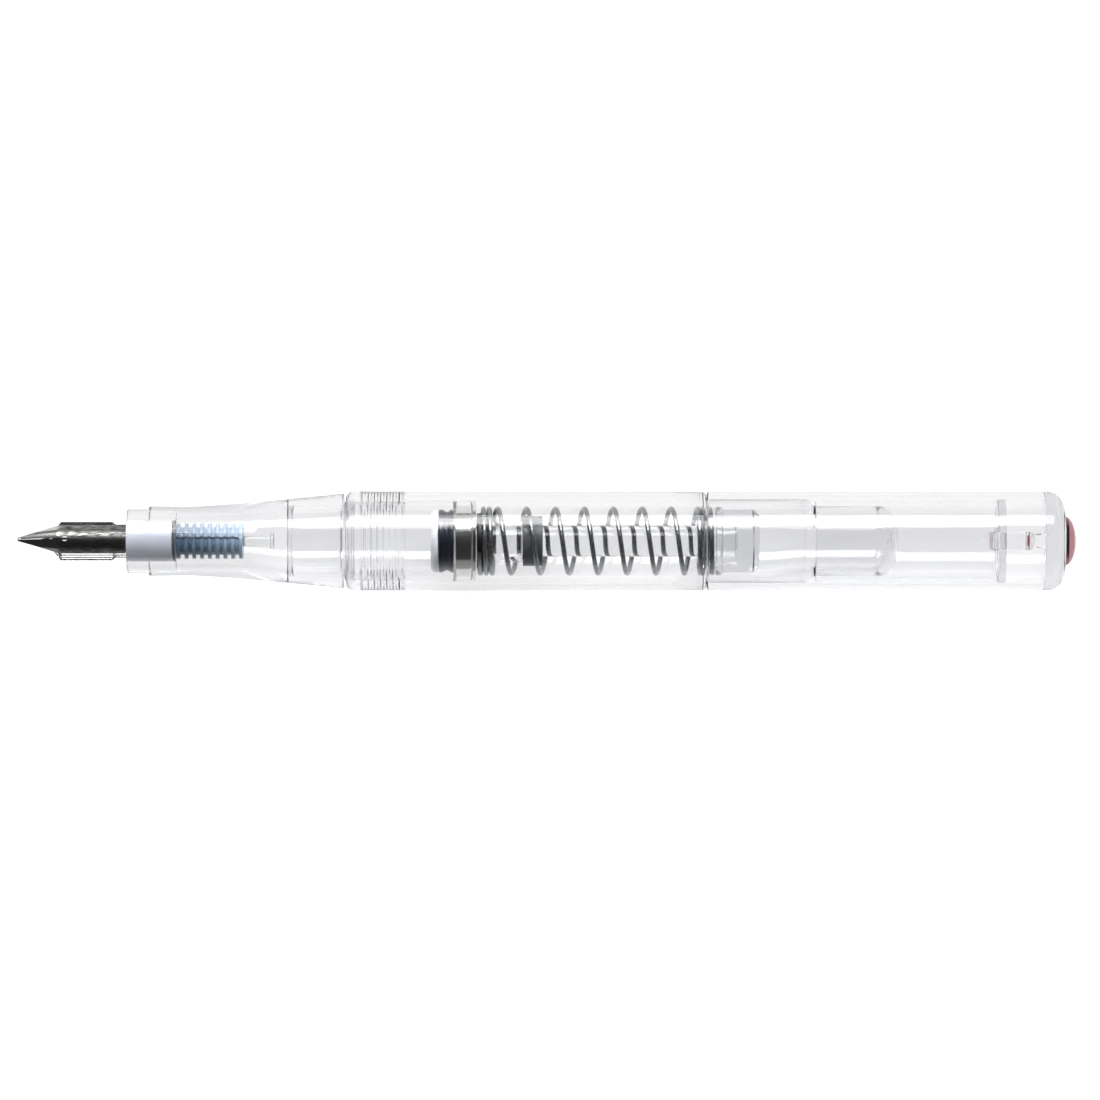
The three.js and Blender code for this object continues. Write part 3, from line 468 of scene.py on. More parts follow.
class Finish:
    """A material under construction: its tree, its shader and its coordinates in millimetres."""

    def __init__(self, name, **values):
        self.material = bpy.data.materials.new(name)
        self.material.use_nodes = True
        self.tree = self.material.node_tree
        self.shader = self.tree.nodes["Principled BSDF"]
        self.output = self.tree.nodes["Material Output"]
        for label, value in values.items():
            self.set(label.replace("_", " "), value)
        place = self.tree.nodes.new("ShaderNodeTexCoord")
        scale = self.tree.nodes.new("ShaderNodeMapping")
        scale.inputs["Location"].default_value = (0, 0, -AXIS / MM)
        scale.inputs["Scale"].default_value = (1 / MM,) * 3
        self.link(place.outputs["Object"], scale.inputs["Vector"])
        self.vector = scale.outputs["Vector"]

    def link(self, source, target):
        self.tree.links.new(source, target)

    def set(self, label, value):
        socket = next(s for s in self.shader.inputs if s.name.lower() == label.lower())
        socket.default_value = (*value, 1) if socket.type == "RGBA" else value

    def place(self, name, **values):
        """Puts a shared effect in the material with its own values."""
        node = self.tree.nodes.new("ShaderNodeGroup")
        node.node_tree = effect(name)
        self.link(self.vector, node.inputs["Vector"])
        for label, value in values.items():
            node.inputs[label.replace("_", " ")].default_value = value
        return node

    def bump(self, height, strength, depth):
        """A Bump node before the shader's Normal; depth is in millimetres."""
        node = self.tree.nodes.new("ShaderNodeBump")
        node.inputs["Strength"].default_value = strength
        node.inputs["Distance"].default_value = depth * MM
        self.link(height, node.inputs["Height"])
        self.link(node.outputs["Normal"], self.shader.inputs["Normal"])

    def mix(self, share, first, second, target):
        """A colour between two, by a share from 0 to 1, into one of the shader's sockets."""
        node = self.tree.nodes.new("ShaderNodeMix")
        node.data_type = "RGBA"
        self.link(share, node.inputs["Factor"])
        node.inputs[6].default_value = (*first, 1)
        node.inputs[7].default_value = (*second, 1)
        self.link(node.outputs[2], self.shader.inputs[target])

    def along(self, start, end):
        """0 before start and 1 after end along the pen."""
        parts = self.tree.nodes.new("ShaderNodeSeparateXYZ")
        self.link(self.vector, parts.inputs[0])
        node = self.tree.nodes.new("ShaderNodeMapRange")
        node.inputs["From Min"].default_value = start
        node.inputs["From Max"].default_value = end
        self.link(parts.outputs["X"], node.inputs["Value"])
        return node.outputs["Result"]

    def dims_by_depth(self, tint, density):
        """Light is lost along its way inside the piece; density is per metre."""
        inside = self.tree.nodes.new("ShaderNodeVolumeAbsorption")
        inside.inputs["Color"].default_value = (*tint, 1)
        inside.inputs["Density"].default_value = density
        self.link(inside.outputs["Volume"], self.output.inputs["Volume"])

    def lets_lamps_through(self, share):
        """Lamps shine through the piece, so that what is inside and under it is lit."""
        path = self.tree.nodes.new("ShaderNodeLightPath")
        open_side = self.tree.nodes.new("ShaderNodeBsdfTransparent")
        open_side.inputs["Color"].default_value = (*share, 1)
        mixed = self.tree.nodes.new("ShaderNodeMixShader")
        self.link(path.outputs["Is Shadow Ray"], mixed.inputs[0])
        self.link(self.shader.outputs[0], mixed.inputs[1])
        self.link(open_side.outputs[0], mixed.inputs[2])
        self.link(mixed.outputs[0], self.output.inputs["Surface"])


TINT_AND_PAINTED_SHADE_DENSITY = 55.0  # per metre, against the clear colour's own darkness: partly the plastic's own tint, partly painted shade for the pen's shadow on the floor under it


def clear_plastic():
    """Gloss clear plastic with faint moulding waves and handling hairlines, dimmed inside partly by its own
    slight blue tint and partly by painted shade.
    """
    colours = bpy.context.scene.pen_colours
    finish = Finish("clear_plastic", Base_Color=(1, 1, 1), IOR=1.49, Transmission_Weight=1.0)
    # painted shade: this absorption dims what is seen through the pen in place of its shadow on the floor, on
    # top of the plastic's own slight blue tint
    finish.dims_by_depth(colours.clear, TINT_AND_PAINTED_SHADE_DENSITY)
    marks = finish.place("handling_marks", Hairlines=0.6, Smooth=0.015, Worn=0.16)
    finish.link(marks.outputs["Roughness"], finish.shader.inputs["Roughness"])
    grain = finish.place("moulded_grain", Wave_scale=0.35, Grain_scale=4.0, Grain_share=0.05)
    finish.bump(grain.outputs["Height"], 0.25, 0.02)
    finish.lets_lamps_through((0.965, 0.967, 0.975))
    return finish.material


INK_FADE = (0.58, 0.88)  # of the feed's length, where the ink starts and stops to pale


def inked_plastic():
    """The comb's clear plastic with ink between and on its fins, paler towards the rear."""
    colours = bpy.context.scene.pen_colours
    start, end, _ = span("feed")
    finish = Finish("inked_plastic", Roughness=0.28, IOR=1.49)
    grain = finish.place("moulded_grain", Wave_scale=1.1, Grain_scale=6.0, Grain_share=0.4)
    fade = finish.along(*(start + (end - start) * share for share in INK_FADE))
    uneven = math_node(finish.tree, "MULTIPLY", fade, grain.outputs["Variation"], clamp=True)
    finish.mix(uneven, colours.ink_dark, colours.ink_pale, "Base Color")
    finish.bump(grain.outputs["Height"], 0.3, 0.03)
    return finish.material


def metal(name, tint, roughness, stretch, depth):
    """Steel with drawn or brushed lines and a few hairlines."""
    finish = Finish(name, Metallic=1.0)
    lines = finish.place("drawn_lines", Stretch=stretch)
    marks = finish.place("handling_marks", Hairlines=0.5, Smooth=roughness, Worn=roughness + 0.18)
    finish.link(marks.outputs["Roughness"], finish.shader.inputs["Roughness"])
    darker, lighter = [c * 0.9 for c in tint], [min(1, c * 1.08) for c in tint]
    finish.mix(lines.outputs["Height"], darker, lighter, "Base Color")
    finish.bump(lines.outputs["Height"], 0.35, depth)
    return finish.material


ETCH_AND_SHADE_EDGES = (-0.3, 0.5)  # from the shoulders, where the etching and its painted shade start and are full
ETCH_AND_SHADE_CONTRAST = 1.8
ETCH_AND_SHADE_FLOOR = -0.1
ETCHED_BODY_PAINTED_SHADE = 0.12  # of the steel's own colour: painted shade that darkens the etched body in place of its dark reflections
ETCHED_ROUGHNESS = 0.3


def polished_steel():
    """The nib's steel: polished tines, and an etched body behind the shoulders whose colour is darkened by
    painted shade that stands in for its dark reflections.
    """
    tint = bpy.context.scene.pen_colours.steel
    start = span("nib")[0]
    finish = Finish("polished_steel", Metallic=1.0)
    lines = finish.place("drawn_lines", Stretch=(0.35, 1.6, 1.6))
    marks = finish.place("handling_marks", Hairlines=0.5, Smooth=0.1, Worn=0.25)
    etched_and_shaded = finish.along(*(start + NIB_SHOULDER + edge for edge in ETCH_AND_SHADE_EDGES))
    steep = math_node(finish.tree, "MULTIPLY", lines.outputs["Height"], ETCH_AND_SHADE_CONTRAST)
    strong = math_node(finish.tree, "ADD", steep, ETCH_AND_SHADE_FLOOR)
    grain = math_node(finish.tree, "MULTIPLY", etched_and_shaded, strong, clamp=True)
    dull = math_node(finish.tree, "MULTIPLY", grain, ETCHED_ROUGHNESS)
    rough = math_node(finish.tree, "ADD", dull, marks.outputs["Roughness"])
    finish.link(rough, finish.shader.inputs["Roughness"])
    # painted shade: the mask darkens the body's colour in place of its dark reflections; its roughness and
    # bump are the real etching
    finish.mix(grain, tint, [c * ETCHED_BODY_PAINTED_SHADE for c in tint], "Base Color")
    finish.bump(grain, 0.3, 0.03)
    return finish.material


def turned_steel():
    return metal("turned_steel", bpy.context.scene.pen_colours.collar, 0.12, (9.0, 0.3, 0.3), 0.006)


def spring_steel():
    return metal("spring_steel", bpy.context.scene.pen_colours.wire, 0.26, (2.0, 2.0, 2.0), 0.01)


def soft_plastic(name, tint, roughness, translucence, depth):
    """Moulded plastic or rubber, a little translucent where it is pale, with moulded grain."""
    finish = Finish(name, IOR=1.49, Subsurface_Weight=translucence, Subsurface_Scale=0.6 * MM)
    finish.set("Subsurface Radius", (1.0, 1.0, 1.0))
    grain = finish.place("moulded_grain", Wave_scale=0.8, Grain_scale=7.0, Grain_share=0.5)
    marks = finish.place("handling_marks", Hairlines=0.4, Smooth=roughness, Worn=min(1.0, roughness + 0.2))
    finish.link(marks.outputs["Roughness"], finish.shader.inputs["Roughness"])
    shade = math_node(finish.tree, "SUBTRACT", grain.outputs["Variation"], 0.5, clamp=True)
    finish.mix(shade, [c * 0.92 for c in tint], [min(1, c * 1.06) for c in tint], "Base Color")
    finish.bump(grain.outputs["Height"], 0.3, depth)
    return finish.material


def pale_plastic():
    return soft_plastic("pale_plastic", bpy.context.scene.pen_colours.pale, 0.25, 0.5, 0.01)


def sleeve_plastic():
    return soft_plastic("sleeve_plastic", bpy.context.scene.pen_colours.sleeve, 0.22, 0.5, 0.01)


def silicone():
    """Clear silicone with a matt, slightly grained skin."""
    finish = Finish("silicone", IOR=1.41, Transmission_Weight=1.0)
    finish.set("Base Color", bpy.context.scene.pen_colours.silicone)
    marks = finish.place("handling_marks", Hairlines=0.3, Smooth=0.22, Worn=0.4)
    finish.link(marks.outputs["Roughness"], finish.shader.inputs["Roughness"])
    grain = finish.place("moulded_grain", Wave_scale=0.8, Grain_scale=7.0, Grain_share=0.5)
    finish.bump(grain.outputs["Height"], 0.3, 0.01)
    finish.lets_lamps_through((0.9, 0.9, 0.92))
    return finish.material


def grey_plastic():
    return soft_plastic("grey_plastic", bpy.context.scene.pen_colours.bush, 0.42, 0.0, 0.02)


def navy_rubber():
    return soft_plastic("navy_rubber", bpy.context.scene.pen_colours.navy, 0.38, 0.0, 0.02)


def black_rubber():
    return soft_plastic("black_rubber", bpy.context.scene.pen_colours.black, 0.42, 0.0, 0.02)


def grey_rubber():
    return soft_plastic("grey_rubber", bpy.context.scene.pen_colours.grey_rubber, 0.45, 0.0, 0.02)


def red_inlay():
    """A red lacquered disc with a faint fleck."""
    red = bpy.context.scene.pen_colours.red
    finish = Finish("red_inlay", Roughness=0.3, Coat_Weight=0.4)
    grain = finish.place("moulded_grain", Wave_scale=1.5, Grain_scale=12.0, Grain_share=0.6)
    shade = math_node(finish.tree, "SUBTRACT", grain.outputs["Variation"], 0.5, clamp=True)
    finish.mix(shade, [c * 0.85 for c in red], [min(1, c * 1.15) for c in red], "Base Color")
    finish.bump(grain.outputs["Height"], 0.2, 0.01)
    return finish.material


def material(builder):
    """The material that a builder makes, made once."""
    if builder.__name__ not in MATERIALS:
        MATERIALS[builder.__name__] = builder()
    return MATERIALS[builder.__name__]


# ---- Nib unit --------------------------------------------------------------------------------------------

NIB_SHOULDER = 5.9  # from the point to the shoulders
NIB_WIDTH = 4.1
NIB_TAIL_WIDTH = 3.7
NIB_TAIL_LENGTH = 5.4
NIB_POINT_WIDTH = 0.5
NIB_BOW = (0.6, 0.62)  # where the tines' edges bow out and their width there, as shares of the shoulders'
NIB_POINT_HEIGHT = 0.55  # of the sheet's radius, at the point
SHOULDER_ROUND = 0.45
BREATHER_PLACE = 6.9
TIPPING_RADIUS = 0.3
NIB_ROWS_ACROSS = 10
TINE_STATIONS = 26
SHOULDER_STATIONS = 4
HOLE_STATIONS = 14
BODY_STATIONS = 8
TAIL_SLOPE = 0.3
EDGE_ANGLE = math.radians(50)  # edges of the sheet that are broken
TIPPING_SIDES = 24
TIPPING_RINGS = 16


def tine_edge(share):
    """A point on the tine's outer edge, from the nib's point at 0 to the shoulder at 1."""
    bow_x, bow_y = NIB_BOW[0] * NIB_SHOULDER, NIB_BOW[1] * NIB_WIDTH / 2
    rest = 1 - share
    x = 2 * share * rest * bow_x + share * share * NIB_SHOULDER
    y = rest * rest * NIB_POINT_WIDTH / 2 + 2 * share * rest * bow_y + share * share * NIB_WIDTH / 2
    return x, y


def nib_stations(length_all, hole):
    """(place from the point, half width) along one half of the nib, closer together where the edge curves."""
    half = NIB_WIDTH / 2
    stations = [tine_edge(i / TINE_STATIONS) for i in range(TINE_STATIONS)]
    stations += [(NIB_SHOULDER + SHOULDER_ROUND * (i / SHOULDER_STATIONS), half) for i in range(2)]
    for i in range(HOLE_STATIONS + 1):
        stations.append((BREATHER_PLACE - hole * math.cos(math.pi * i / HOLE_STATIONS), half))
    tail = length_all - NIB_TAIL_LENGTH
    body_start = BREATHER_PLACE + hole
    body = tail - TAIL_SLOPE - body_start
    stations += [(body_start + body * i / BODY_STATIONS, half) for i in range(1, BODY_STATIONS + 1)]
    stations += [(tail, NIB_TAIL_WIDTH / 2), (length_all, NIB_TAIL_WIDTH / 2)]
    return stations


def nib_half(sizes):
    """The left half of the nib's sheet, as a curved grid in the nib's own upright position."""
    start, end, _ = span("nib")
    radius = nib_radius()
    hole = sizes.breather / MM / 2
    stations = nib_stations(end - start, hole)
    bm = bmesh.new()
    rows, columns = len(stations) - 1, NIB_ROWS_ACROSS
    bmesh.ops.create_grid(bm, x_segments=rows, y_segments=columns, size=0.5)
    for v in bm.verts:
        x, outer = stations[round((v.co.x + 0.5) * rows)]
        share = (v.co.y + 0.5)
        inner = slit_edge(x, hole, sizes)
        y = inner + (outer - inner) * share
        sheet = radius * min(1.0, NIB_POINT_HEIGHT + (1 - NIB_POINT_HEIGHT) * x / NIB_SHOULDER)
        v.co = (start + x, y, math.sqrt(sheet * sheet - y * y))
    return bm


def nib_radius():
    """The sheet's outer radius: the nib's top stands that far above the pen's axis."""
    return (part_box("nib")[1].z - AXIS) / MM


def slit_edge(x, hole, sizes):
    """Half of the gap between the nib's halves at a place from its point: the slit, the hole, then none."""
    if x <= BREATHER_PLACE - hole:
        share = max(x, 0) / (BREATHER_PLACE - hole)
        width = sizes.slit_at_point + (sizes.slit_at_hole - sizes.slit_at_point) * share
        return width / MM / 2
    slit = sizes.slit_at_hole / MM / 2
    across = hole * hole - (x - BREATHER_PLACE) ** 2
    if x >= BREATHER_PLACE + hole - MERGE:
        return 0.0
    return max(math.sqrt(max(across, 0)), slit if x < BREATHER_PLACE else 0.0)


class PEN_OT_nib(bpy.types.Operator):
    """Steel nib: two tines bent to a curve, with slit, breather hole and tipping"""

    bl_idname = "pen.make_nib"
    bl_label = "Nib"

    def execute(self, context):
        sizes = context.scene.pen_sizes
        bm = nib_half(sizes)
        whole = bm.verts[:] + bm.edges[:] + bm.faces[:]
        bmesh.ops.mirror(bm, geom=whole, matrix=Matrix.Identity(4), merge_dist=MERGE, axis="Y")
        bmesh.ops.remove_doubles(bm, verts=bm.verts, dist=MERGE)
        bmesh.ops.recalc_face_normals(bm, faces=bm.faces)
        if sum(f.normal.z for f in bm.faces) < 0:
            bmesh.ops.reverse_faces(bm, faces=bm.faces)
        bmesh.ops.solidify(bm, geom=bm.faces[:], thickness=sizes.nib_thickness / MM)
        bmesh.ops.recalc_face_normals(bm, faces=bm.faces)
        bm = combined(bm, self.tipping(sizes), "UNION")
        turn = Matrix.Rotation(-NIB_TURN, 3, "X")
        bmesh.ops.rotate(bm, verts=bm.verts, cent=(0, 0, 0), matrix=turn)
        piece = add_piece("nib", bm, [material(polished_steel)], "nib")
        edge = piece.modifiers.new("polished_edges", "BEVEL")
        edge.width = sizes.metal_rounding / 2
        edge.segments = 2
        edge.limit_method = "ANGLE"
        edge.angle_limit = EDGE_ANGLE
        piece.modifiers.move(1, 0)
        return {"FINISHED"}

    def tipping(self, sizes):
        """The hard round point, split by the slit."""
        start = span("nib")[0]
        bm = bmesh.new()
        bmesh.ops.create_uvsphere(
            bm, u_segments=TIPPING_SIDES, v_segments=TIPPING_RINGS, radius=TIPPING_RADIUS
        )
        height = nib_radius() * NIB_POINT_HEIGHT - sizes.nib_thickness / MM / 2
        bmesh.ops.translate(bm, verts=bm.verts, vec=(start + TIPPING_RADIUS, 0, height))
        half = sizes.slit_at_point / MM / 2
        slot = block((start - 1, -half, 0), (start + 1, half, nib_radius()))
        return combined(bm, slot, "DIFFERENCE")


FEED_CHANNEL_FLOOR = 1.44  # above the pen's axis
FEED_SIDE = math.radians(60)  # from the feed's top to a side clear of its wings
WING_TOP = -0.1  # above the pen's axis
FEED_TAIL_LENGTH = 4.2
COMB_GAP = 0.1  # from the small ring to the comb
CHANNEL_END = 0.5  # from the channel's end to the comb's


class PEN_OT_feed(bpy.types.Operator):
    """Clear feed under the nib, with an inked comb and a thin tail"""

    bl_idname = "pen.make_feed"
    bl_label = "Feed"

    def execute(self, context):
        sizes = context.scene.pen_sizes
        rounding = sizes.plastic_rounding / MM / 3
        core = turned("feed", rounding, NIB_TURN + FEED_SIDE)
        lower = turned("feed", rounding, NIB_TURN + math.pi)
        start = span("feed")[0]
        reach = span("grip_section")[2]
        below = block((start - 1, -reach, -reach), (span("nib_housing")[1], reach, WING_TOP))
        wings = combined(lower, below, "INTERSECT")
        bm = combined(core, wings, "UNION")
        half = sizes.channel / MM / 2
        channel = block((start + 1, -half, FEED_CHANNEL_FLOOR), (comb_span()[1] - CHANNEL_END, half, reach))
        bm = combined(bm, channel, "DIFFERENCE")
        bmesh.ops.rotate(bm, verts=bm.verts, cent=(0, 0, 0), matrix=Matrix.Rotation(-NIB_TURN, 3, "X"))
        comb_start, comb_end = comb_span()
        uphill = Matrix.Rotation(NIB_TURN, 3, "X")
        for face in bm.faces:
            middle = uphill @ face.calc_center_median()
            in_channel = abs(middle.y) < half + MERGE and middle.z > FEED_CHANNEL_FLOOR - MERGE
            in_comb = comb_start - MERGE < middle.x < comb_end + MERGE
            face.material_index = int(in_comb) + int(in_channel)
        looks = [material(clear_plastic), material(inked_plastic), material(sleeve_plastic)]
        add_piece("feed", bm, looks, "feed")
        return {"FINISHED"}


def comb_span():
    """Where the feed's comb starts and ends: behind the small ring, and where the thin tail begins."""
    start = span("housing_o_ring")[1] + COMB_GAP
    return start, span("feed")[1] - FEED_TAIL_LENGTH


class PEN_OT_sleeve(bpy.types.Operator):
    """Pale sleeve that holds nib and feed, and the ring behind it"""

    bl_idname = "pen.make_sleeve"
    bl_label = "Sleeve and ring"

    def execute(self, context):
        rounding = context.scene.pen_sizes.plastic_rounding / MM
        bm = turned("nib_housing", rounding, NIB_TURN)
        add_piece("nib_sleeve", bm, [material(sleeve_plastic)], "nib_housing")
        ring = ring_of("housing_o_ring")
        add_piece("sleeve_ring", ring, [material(grey_rubber)], "housing_o_ring")
        return {"FINISHED"}


# ---- Clear shells ----------------------------------------------------------------------------------------


def add_clear(name, node, context):
    rounding = context.scene.pen_sizes.plastic_rounding / MM
    add_piece(name, turned(node, rounding), [material(clear_plastic)], node)


class PEN_OT_grip(bpy.types.Operator):
    """Clear tapered grip with its stepped front"""

    bl_idname = "pen.make_grip"
    bl_label = "Grip"

    def execute(self, context):
        add_clear("grip", "grip_section", context)
        return {"FINISHED"}


class PEN_OT_chamber(bpy.types.Operator):
    """Clear ink chamber with the barrel's thread"""

    bl_idname = "pen.make_chamber"
    bl_label = "Ink chamber"

    def execute(self, context):
        rounding = context.scene.pen_sizes.thread_rounding / MM
        bm = turned("ink_chamber", rounding)
        add_piece("ink_chamber_tube", bm, [material(clear_plastic)], "ink_chamber")
        return {"FINISHED"}


class PEN_OT_barrel(bpy.types.Operator):
    """Clear barrel with its stepped tail"""

    bl_idname = "pen.make_barrel"
    bl_label = "Barrel"

    def execute(self, context):
        rounding = context.scene.pen_sizes.thread_rounding / MM
        bm = turned("barrel", rounding)
        add_piece("barrel_shell", bm, [material(clear_plastic)], "barrel")
        return {"FINISHED"}


class PEN_OT_rings(bpy.types.Operator):
    """Silicone gasket between grip and chamber, and the barrel's ring"""

    bl_idname = "pen.make_rings"
    bl_label = "Gasket and barrel ring"

    def execute(self, context):
        for name, node in (("gasket", "chamber_gasket"), ("barrel_ring", "barrel_o_ring")):
            add_piece(name, ring_of(node), [material(silicone)], node)
        return {"FINISHED"}


# ---- Filler ----------------------------------------------------------------------------------------------


class PEN_OT_piston(bpy.types.Operator):
    """Piston: pale front disc and two-lip seal"""

    bl_idname = "pen.make_piston"
    bl_label = "Piston"

    def execute(self, context):
        sizes = context.scene.pen_sizes
        nose = turned("piston_nose", sizes.plastic_rounding / MM)
        add_piece("piston_front", nose, [material(pale_plastic)], "piston_nose")
        seal = turned("piston_seal", sizes.rubber_rounding / MM)
        add_piece("piston_lip_seal", seal, [material(navy_rubber)], "piston_seal")
        return {"FINISHED"}


class PEN_OT_plunger(bpy.types.Operator):
    """Clear rod and the clear button that pushes it"""

    bl_idname = "pen.make_plunger"
    bl_label = "Rod and button"

    def execute(self, context):
        add_clear("rod", "plunger_rod", context)
        add_clear("button", "plunger_button", context)
        return {"FINISHED"}


class PEN_OT_filler(bpy.types.Operator):
    """Steel collar, clear rod guide, black seal and grey bush"""

    bl_idname = "pen.make_filler"
    bl_label = "Collar, guide, seal and bush"

    def execute(self, context):
        sizes = context.scene.pen_sizes
        collar = turned("filler_collar", sizes.metal_rounding / MM)
        add_piece("collar", collar, [material(turned_steel)], "filler_collar")
        add_clear("guide", "rod_guide", context)
        seal = turned("guide_seal", sizes.rubber_rounding / MM)
        add_piece("guide_lip_seal", seal, [material(black_rubber)], "guide_seal")
        bush = turned("rod_bush", sizes.plastic_rounding / MM)
        add_piece("bush", bush, [material(grey_plastic)], "rod_bush")
        return {"FINISHED"}


SPRING_STEPS = 48  # in one turn
SPRING_START = math.radians(110)
CLOSED_PITCH = 0.86
WIRE_SIDES = 12


class PEN_OT_spring(bpy.types.Operator):
    """Steel compression spring with closed ends"""

    bl_idname = "pen.make_spring"
    bl_label = "Spring"

    def execute(self, context):
        sizes = context.scene.pen_sizes
        start, end, radius = span("spring")
        wire = sizes.spring_wire / MM
        closed, opened = sizes.closed_turns, sizes.open_turns
        open_pitch = (end - start - wire - 2 * closed * CLOSED_PITCH) / opened
        bm = bmesh.new()
        ring = bmesh.ops.create_circle(bm, cap_ends=True, segments=WIRE_SIDES, radius=wire / 2)["verts"]
        stand = Matrix.Rotation(math.pi / 2, 3, "X")
        bmesh.ops.rotate(bm, verts=ring, cent=(0, 0, 0), matrix=stand)
        bmesh.ops.translate(bm, verts=ring, vec=(start + wire / 2, 0, spring_radius() - wire / 2))
        first = Matrix.Rotation(SPRING_START - math.pi / 2, 3, "X")
        bmesh.ops.rotate(bm, verts=ring, cent=(0, 0, 0), matrix=first)
        last = bm.faces[:]
        turns = 2 * closed + opened
        for step in range(round(turns * SPRING_STEPS)):
            turn = (step + 0.5) / SPRING_STEPS
            pitch = open_pitch if closed < turn < turns - closed else CLOSED_PITCH
            made = bmesh.ops.spin(
                bm, geom=last, cent=(0, 0, 0), axis=(1, 0, 0), dvec=(pitch / SPRING_STEPS, 0, 0),
                angle=FULL_TURN / SPRING_STEPS, steps=1,
            )["geom_last"]
            last = [g for g in made if isinstance(g, bmesh.types.BMFace)]
        bmesh.ops.recalc_face_normals(bm, faces=bm.faces)
        piece = add_piece("coil_spring", bm, [material(spring_steel)], "spring")
        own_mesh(piece)
        return {"FINISHED"}


def spring_radius():
    """The spring's outer radius, inside the box of its faceted turns."""
    return span("spring")[2]


# ---- Cap -------------------------------------------------------------------------------------------------

STRAP_EDGE = math.radians(60)  # edges of the loop's strap that are rounded
LOOP_SLOPE = 0.8
LOOP_ROOT = 0.5
LOOP_FROM_END = 6.0
LOOP_LENGTH = 7.4


class PEN_OT_cap(bpy.types.Operator):
    """Clear cap with a small loop for a lanyard"""

    bl_idname = "pen.make_cap"
    bl_label = "Cap"

    def execute(self, context):
        sizes = context.scene.pen_sizes
        bm = turned("cap_shell", sizes.plastic_rounding / MM, math.pi / 2)
        bm = combined(bm, self.loop(sizes), "UNION")
        add_piece("cap", bm, [material(clear_plastic)], "cap_shell")
        return {"FINISHED"}

    def loop(self, sizes):
        """A strap that rises from the cap, runs along it and goes back in."""
        radius = span("cap_shell")[2]
        top = (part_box("cap_shell")[1].z - AXIS) / MM
        end = span("finial_lens")[1] - LOOP_FROM_END
        start = end - LOOP_LENGTH
        bar, width = sizes.loop_bar / MM, sizes.loop_width / MM
        foot, crown = radius - LOOP_ROOT, top - bar / 2
        path = (
            (start + bar / 2, foot), (start + bar / 2, radius), (start + LOOP_SLOPE + bar / 2, crown),
            (end - LOOP_SLOPE - bar / 2, crown), (end - bar / 2, radius), (end - bar / 2, foot),
        )
        bm = bmesh.new()
        points = [bm.verts.new((x, -width / 2, z)) for x, z in path]
        for a, b in zip(points, points[1:]):
            bm.edges.new((a, b))
        round_corners(bm, bar)
        strip = bmesh.ops.extrude_edge_only(bm, edges=bm.edges[:])["geom"]
        moved = [g for g in strip if isinstance(g, bmesh.types.BMVert)]
        bmesh.ops.translate(bm, verts=moved, vec=(0, width, 0))
        bmesh.ops.recalc_face_normals(bm, faces=bm.faces)
        bmesh.ops.solidify(bm, geom=bm.faces[:], thickness=bar)
        middle = (radius + top) / 2
        shift = middle - sum((max(v.co.z for v in bm.verts), radius)) / 2
        bmesh.ops.translate(bm, verts=bm.verts, vec=(0, 0, shift))
        bmesh.ops.recalc_face_normals(bm, faces=bm.faces)
        sides = [e for e in bm.edges if len(e.link_faces) == 2 and e.calc_face_angle() > STRAP_EDGE]
        bmesh.ops.bevel(
            bm, geom=sides, offset=bar / 4, offset_type="OFFSET", segments=3, profile=0.5, affect="EDGES",
            material=-1, clamp_overlap=True,
        )
        return bm


class PEN_OT_inner_cap(bpy.types.Operator):
    """Clear liner inside the cap"""

    bl_idname = "pen.make_inner_cap"
    bl_label = "Inner cap"

    def execute(self, context):
        add_clear("cap_liner", "inner_cap", context)
        return {"FINISHED"}


INLAY_SHARE = 0.985  # of the pocket's room, across the disc
INLAY_BOND = 0.06  # how far the disc is sunk in the dome's back, so that no air parts them


class PEN_OT_finial(bpy.types.Operator):
    """Red disc in the cap's end, under a clear dome"""

    bl_idname = "pen.make_finial"
    bl_label = "Finial"

    def execute(self, context):
        rounding = context.scene.pen_sizes.metal_rounding / MM
        disc = turned("finial_inlay", rounding)
        bmesh.ops.scale(disc, verts=disc.verts, vec=(1, INLAY_SHARE, INLAY_SHARE))
        bond = span("finial_lens")[0] - span("finial_inlay")[1] + INLAY_BOND
        bmesh.ops.translate(disc, verts=disc.verts, vec=(bond, 0, 0))
        add_piece("red_disc", disc, [material(red_inlay)], "finial_inlay")
        dome = turned("finial_lens", rounding)
        add_piece("clear_dome", dome, [material(clear_plastic)], "finial_lens")
        return {"FINISHED"}


# ---- Stage -----------------------------------------------------------------------------------------------

FLOOR_HALF = 4.0
FLAG_HALF = (0.45, 0.54)
FLAG_CENTRE = (0, -0.25, 0.5)
SENSOR = 36.0
VIEW_SHIFT = (0.00044, -0.00131)  # from the pen's middle to the view's


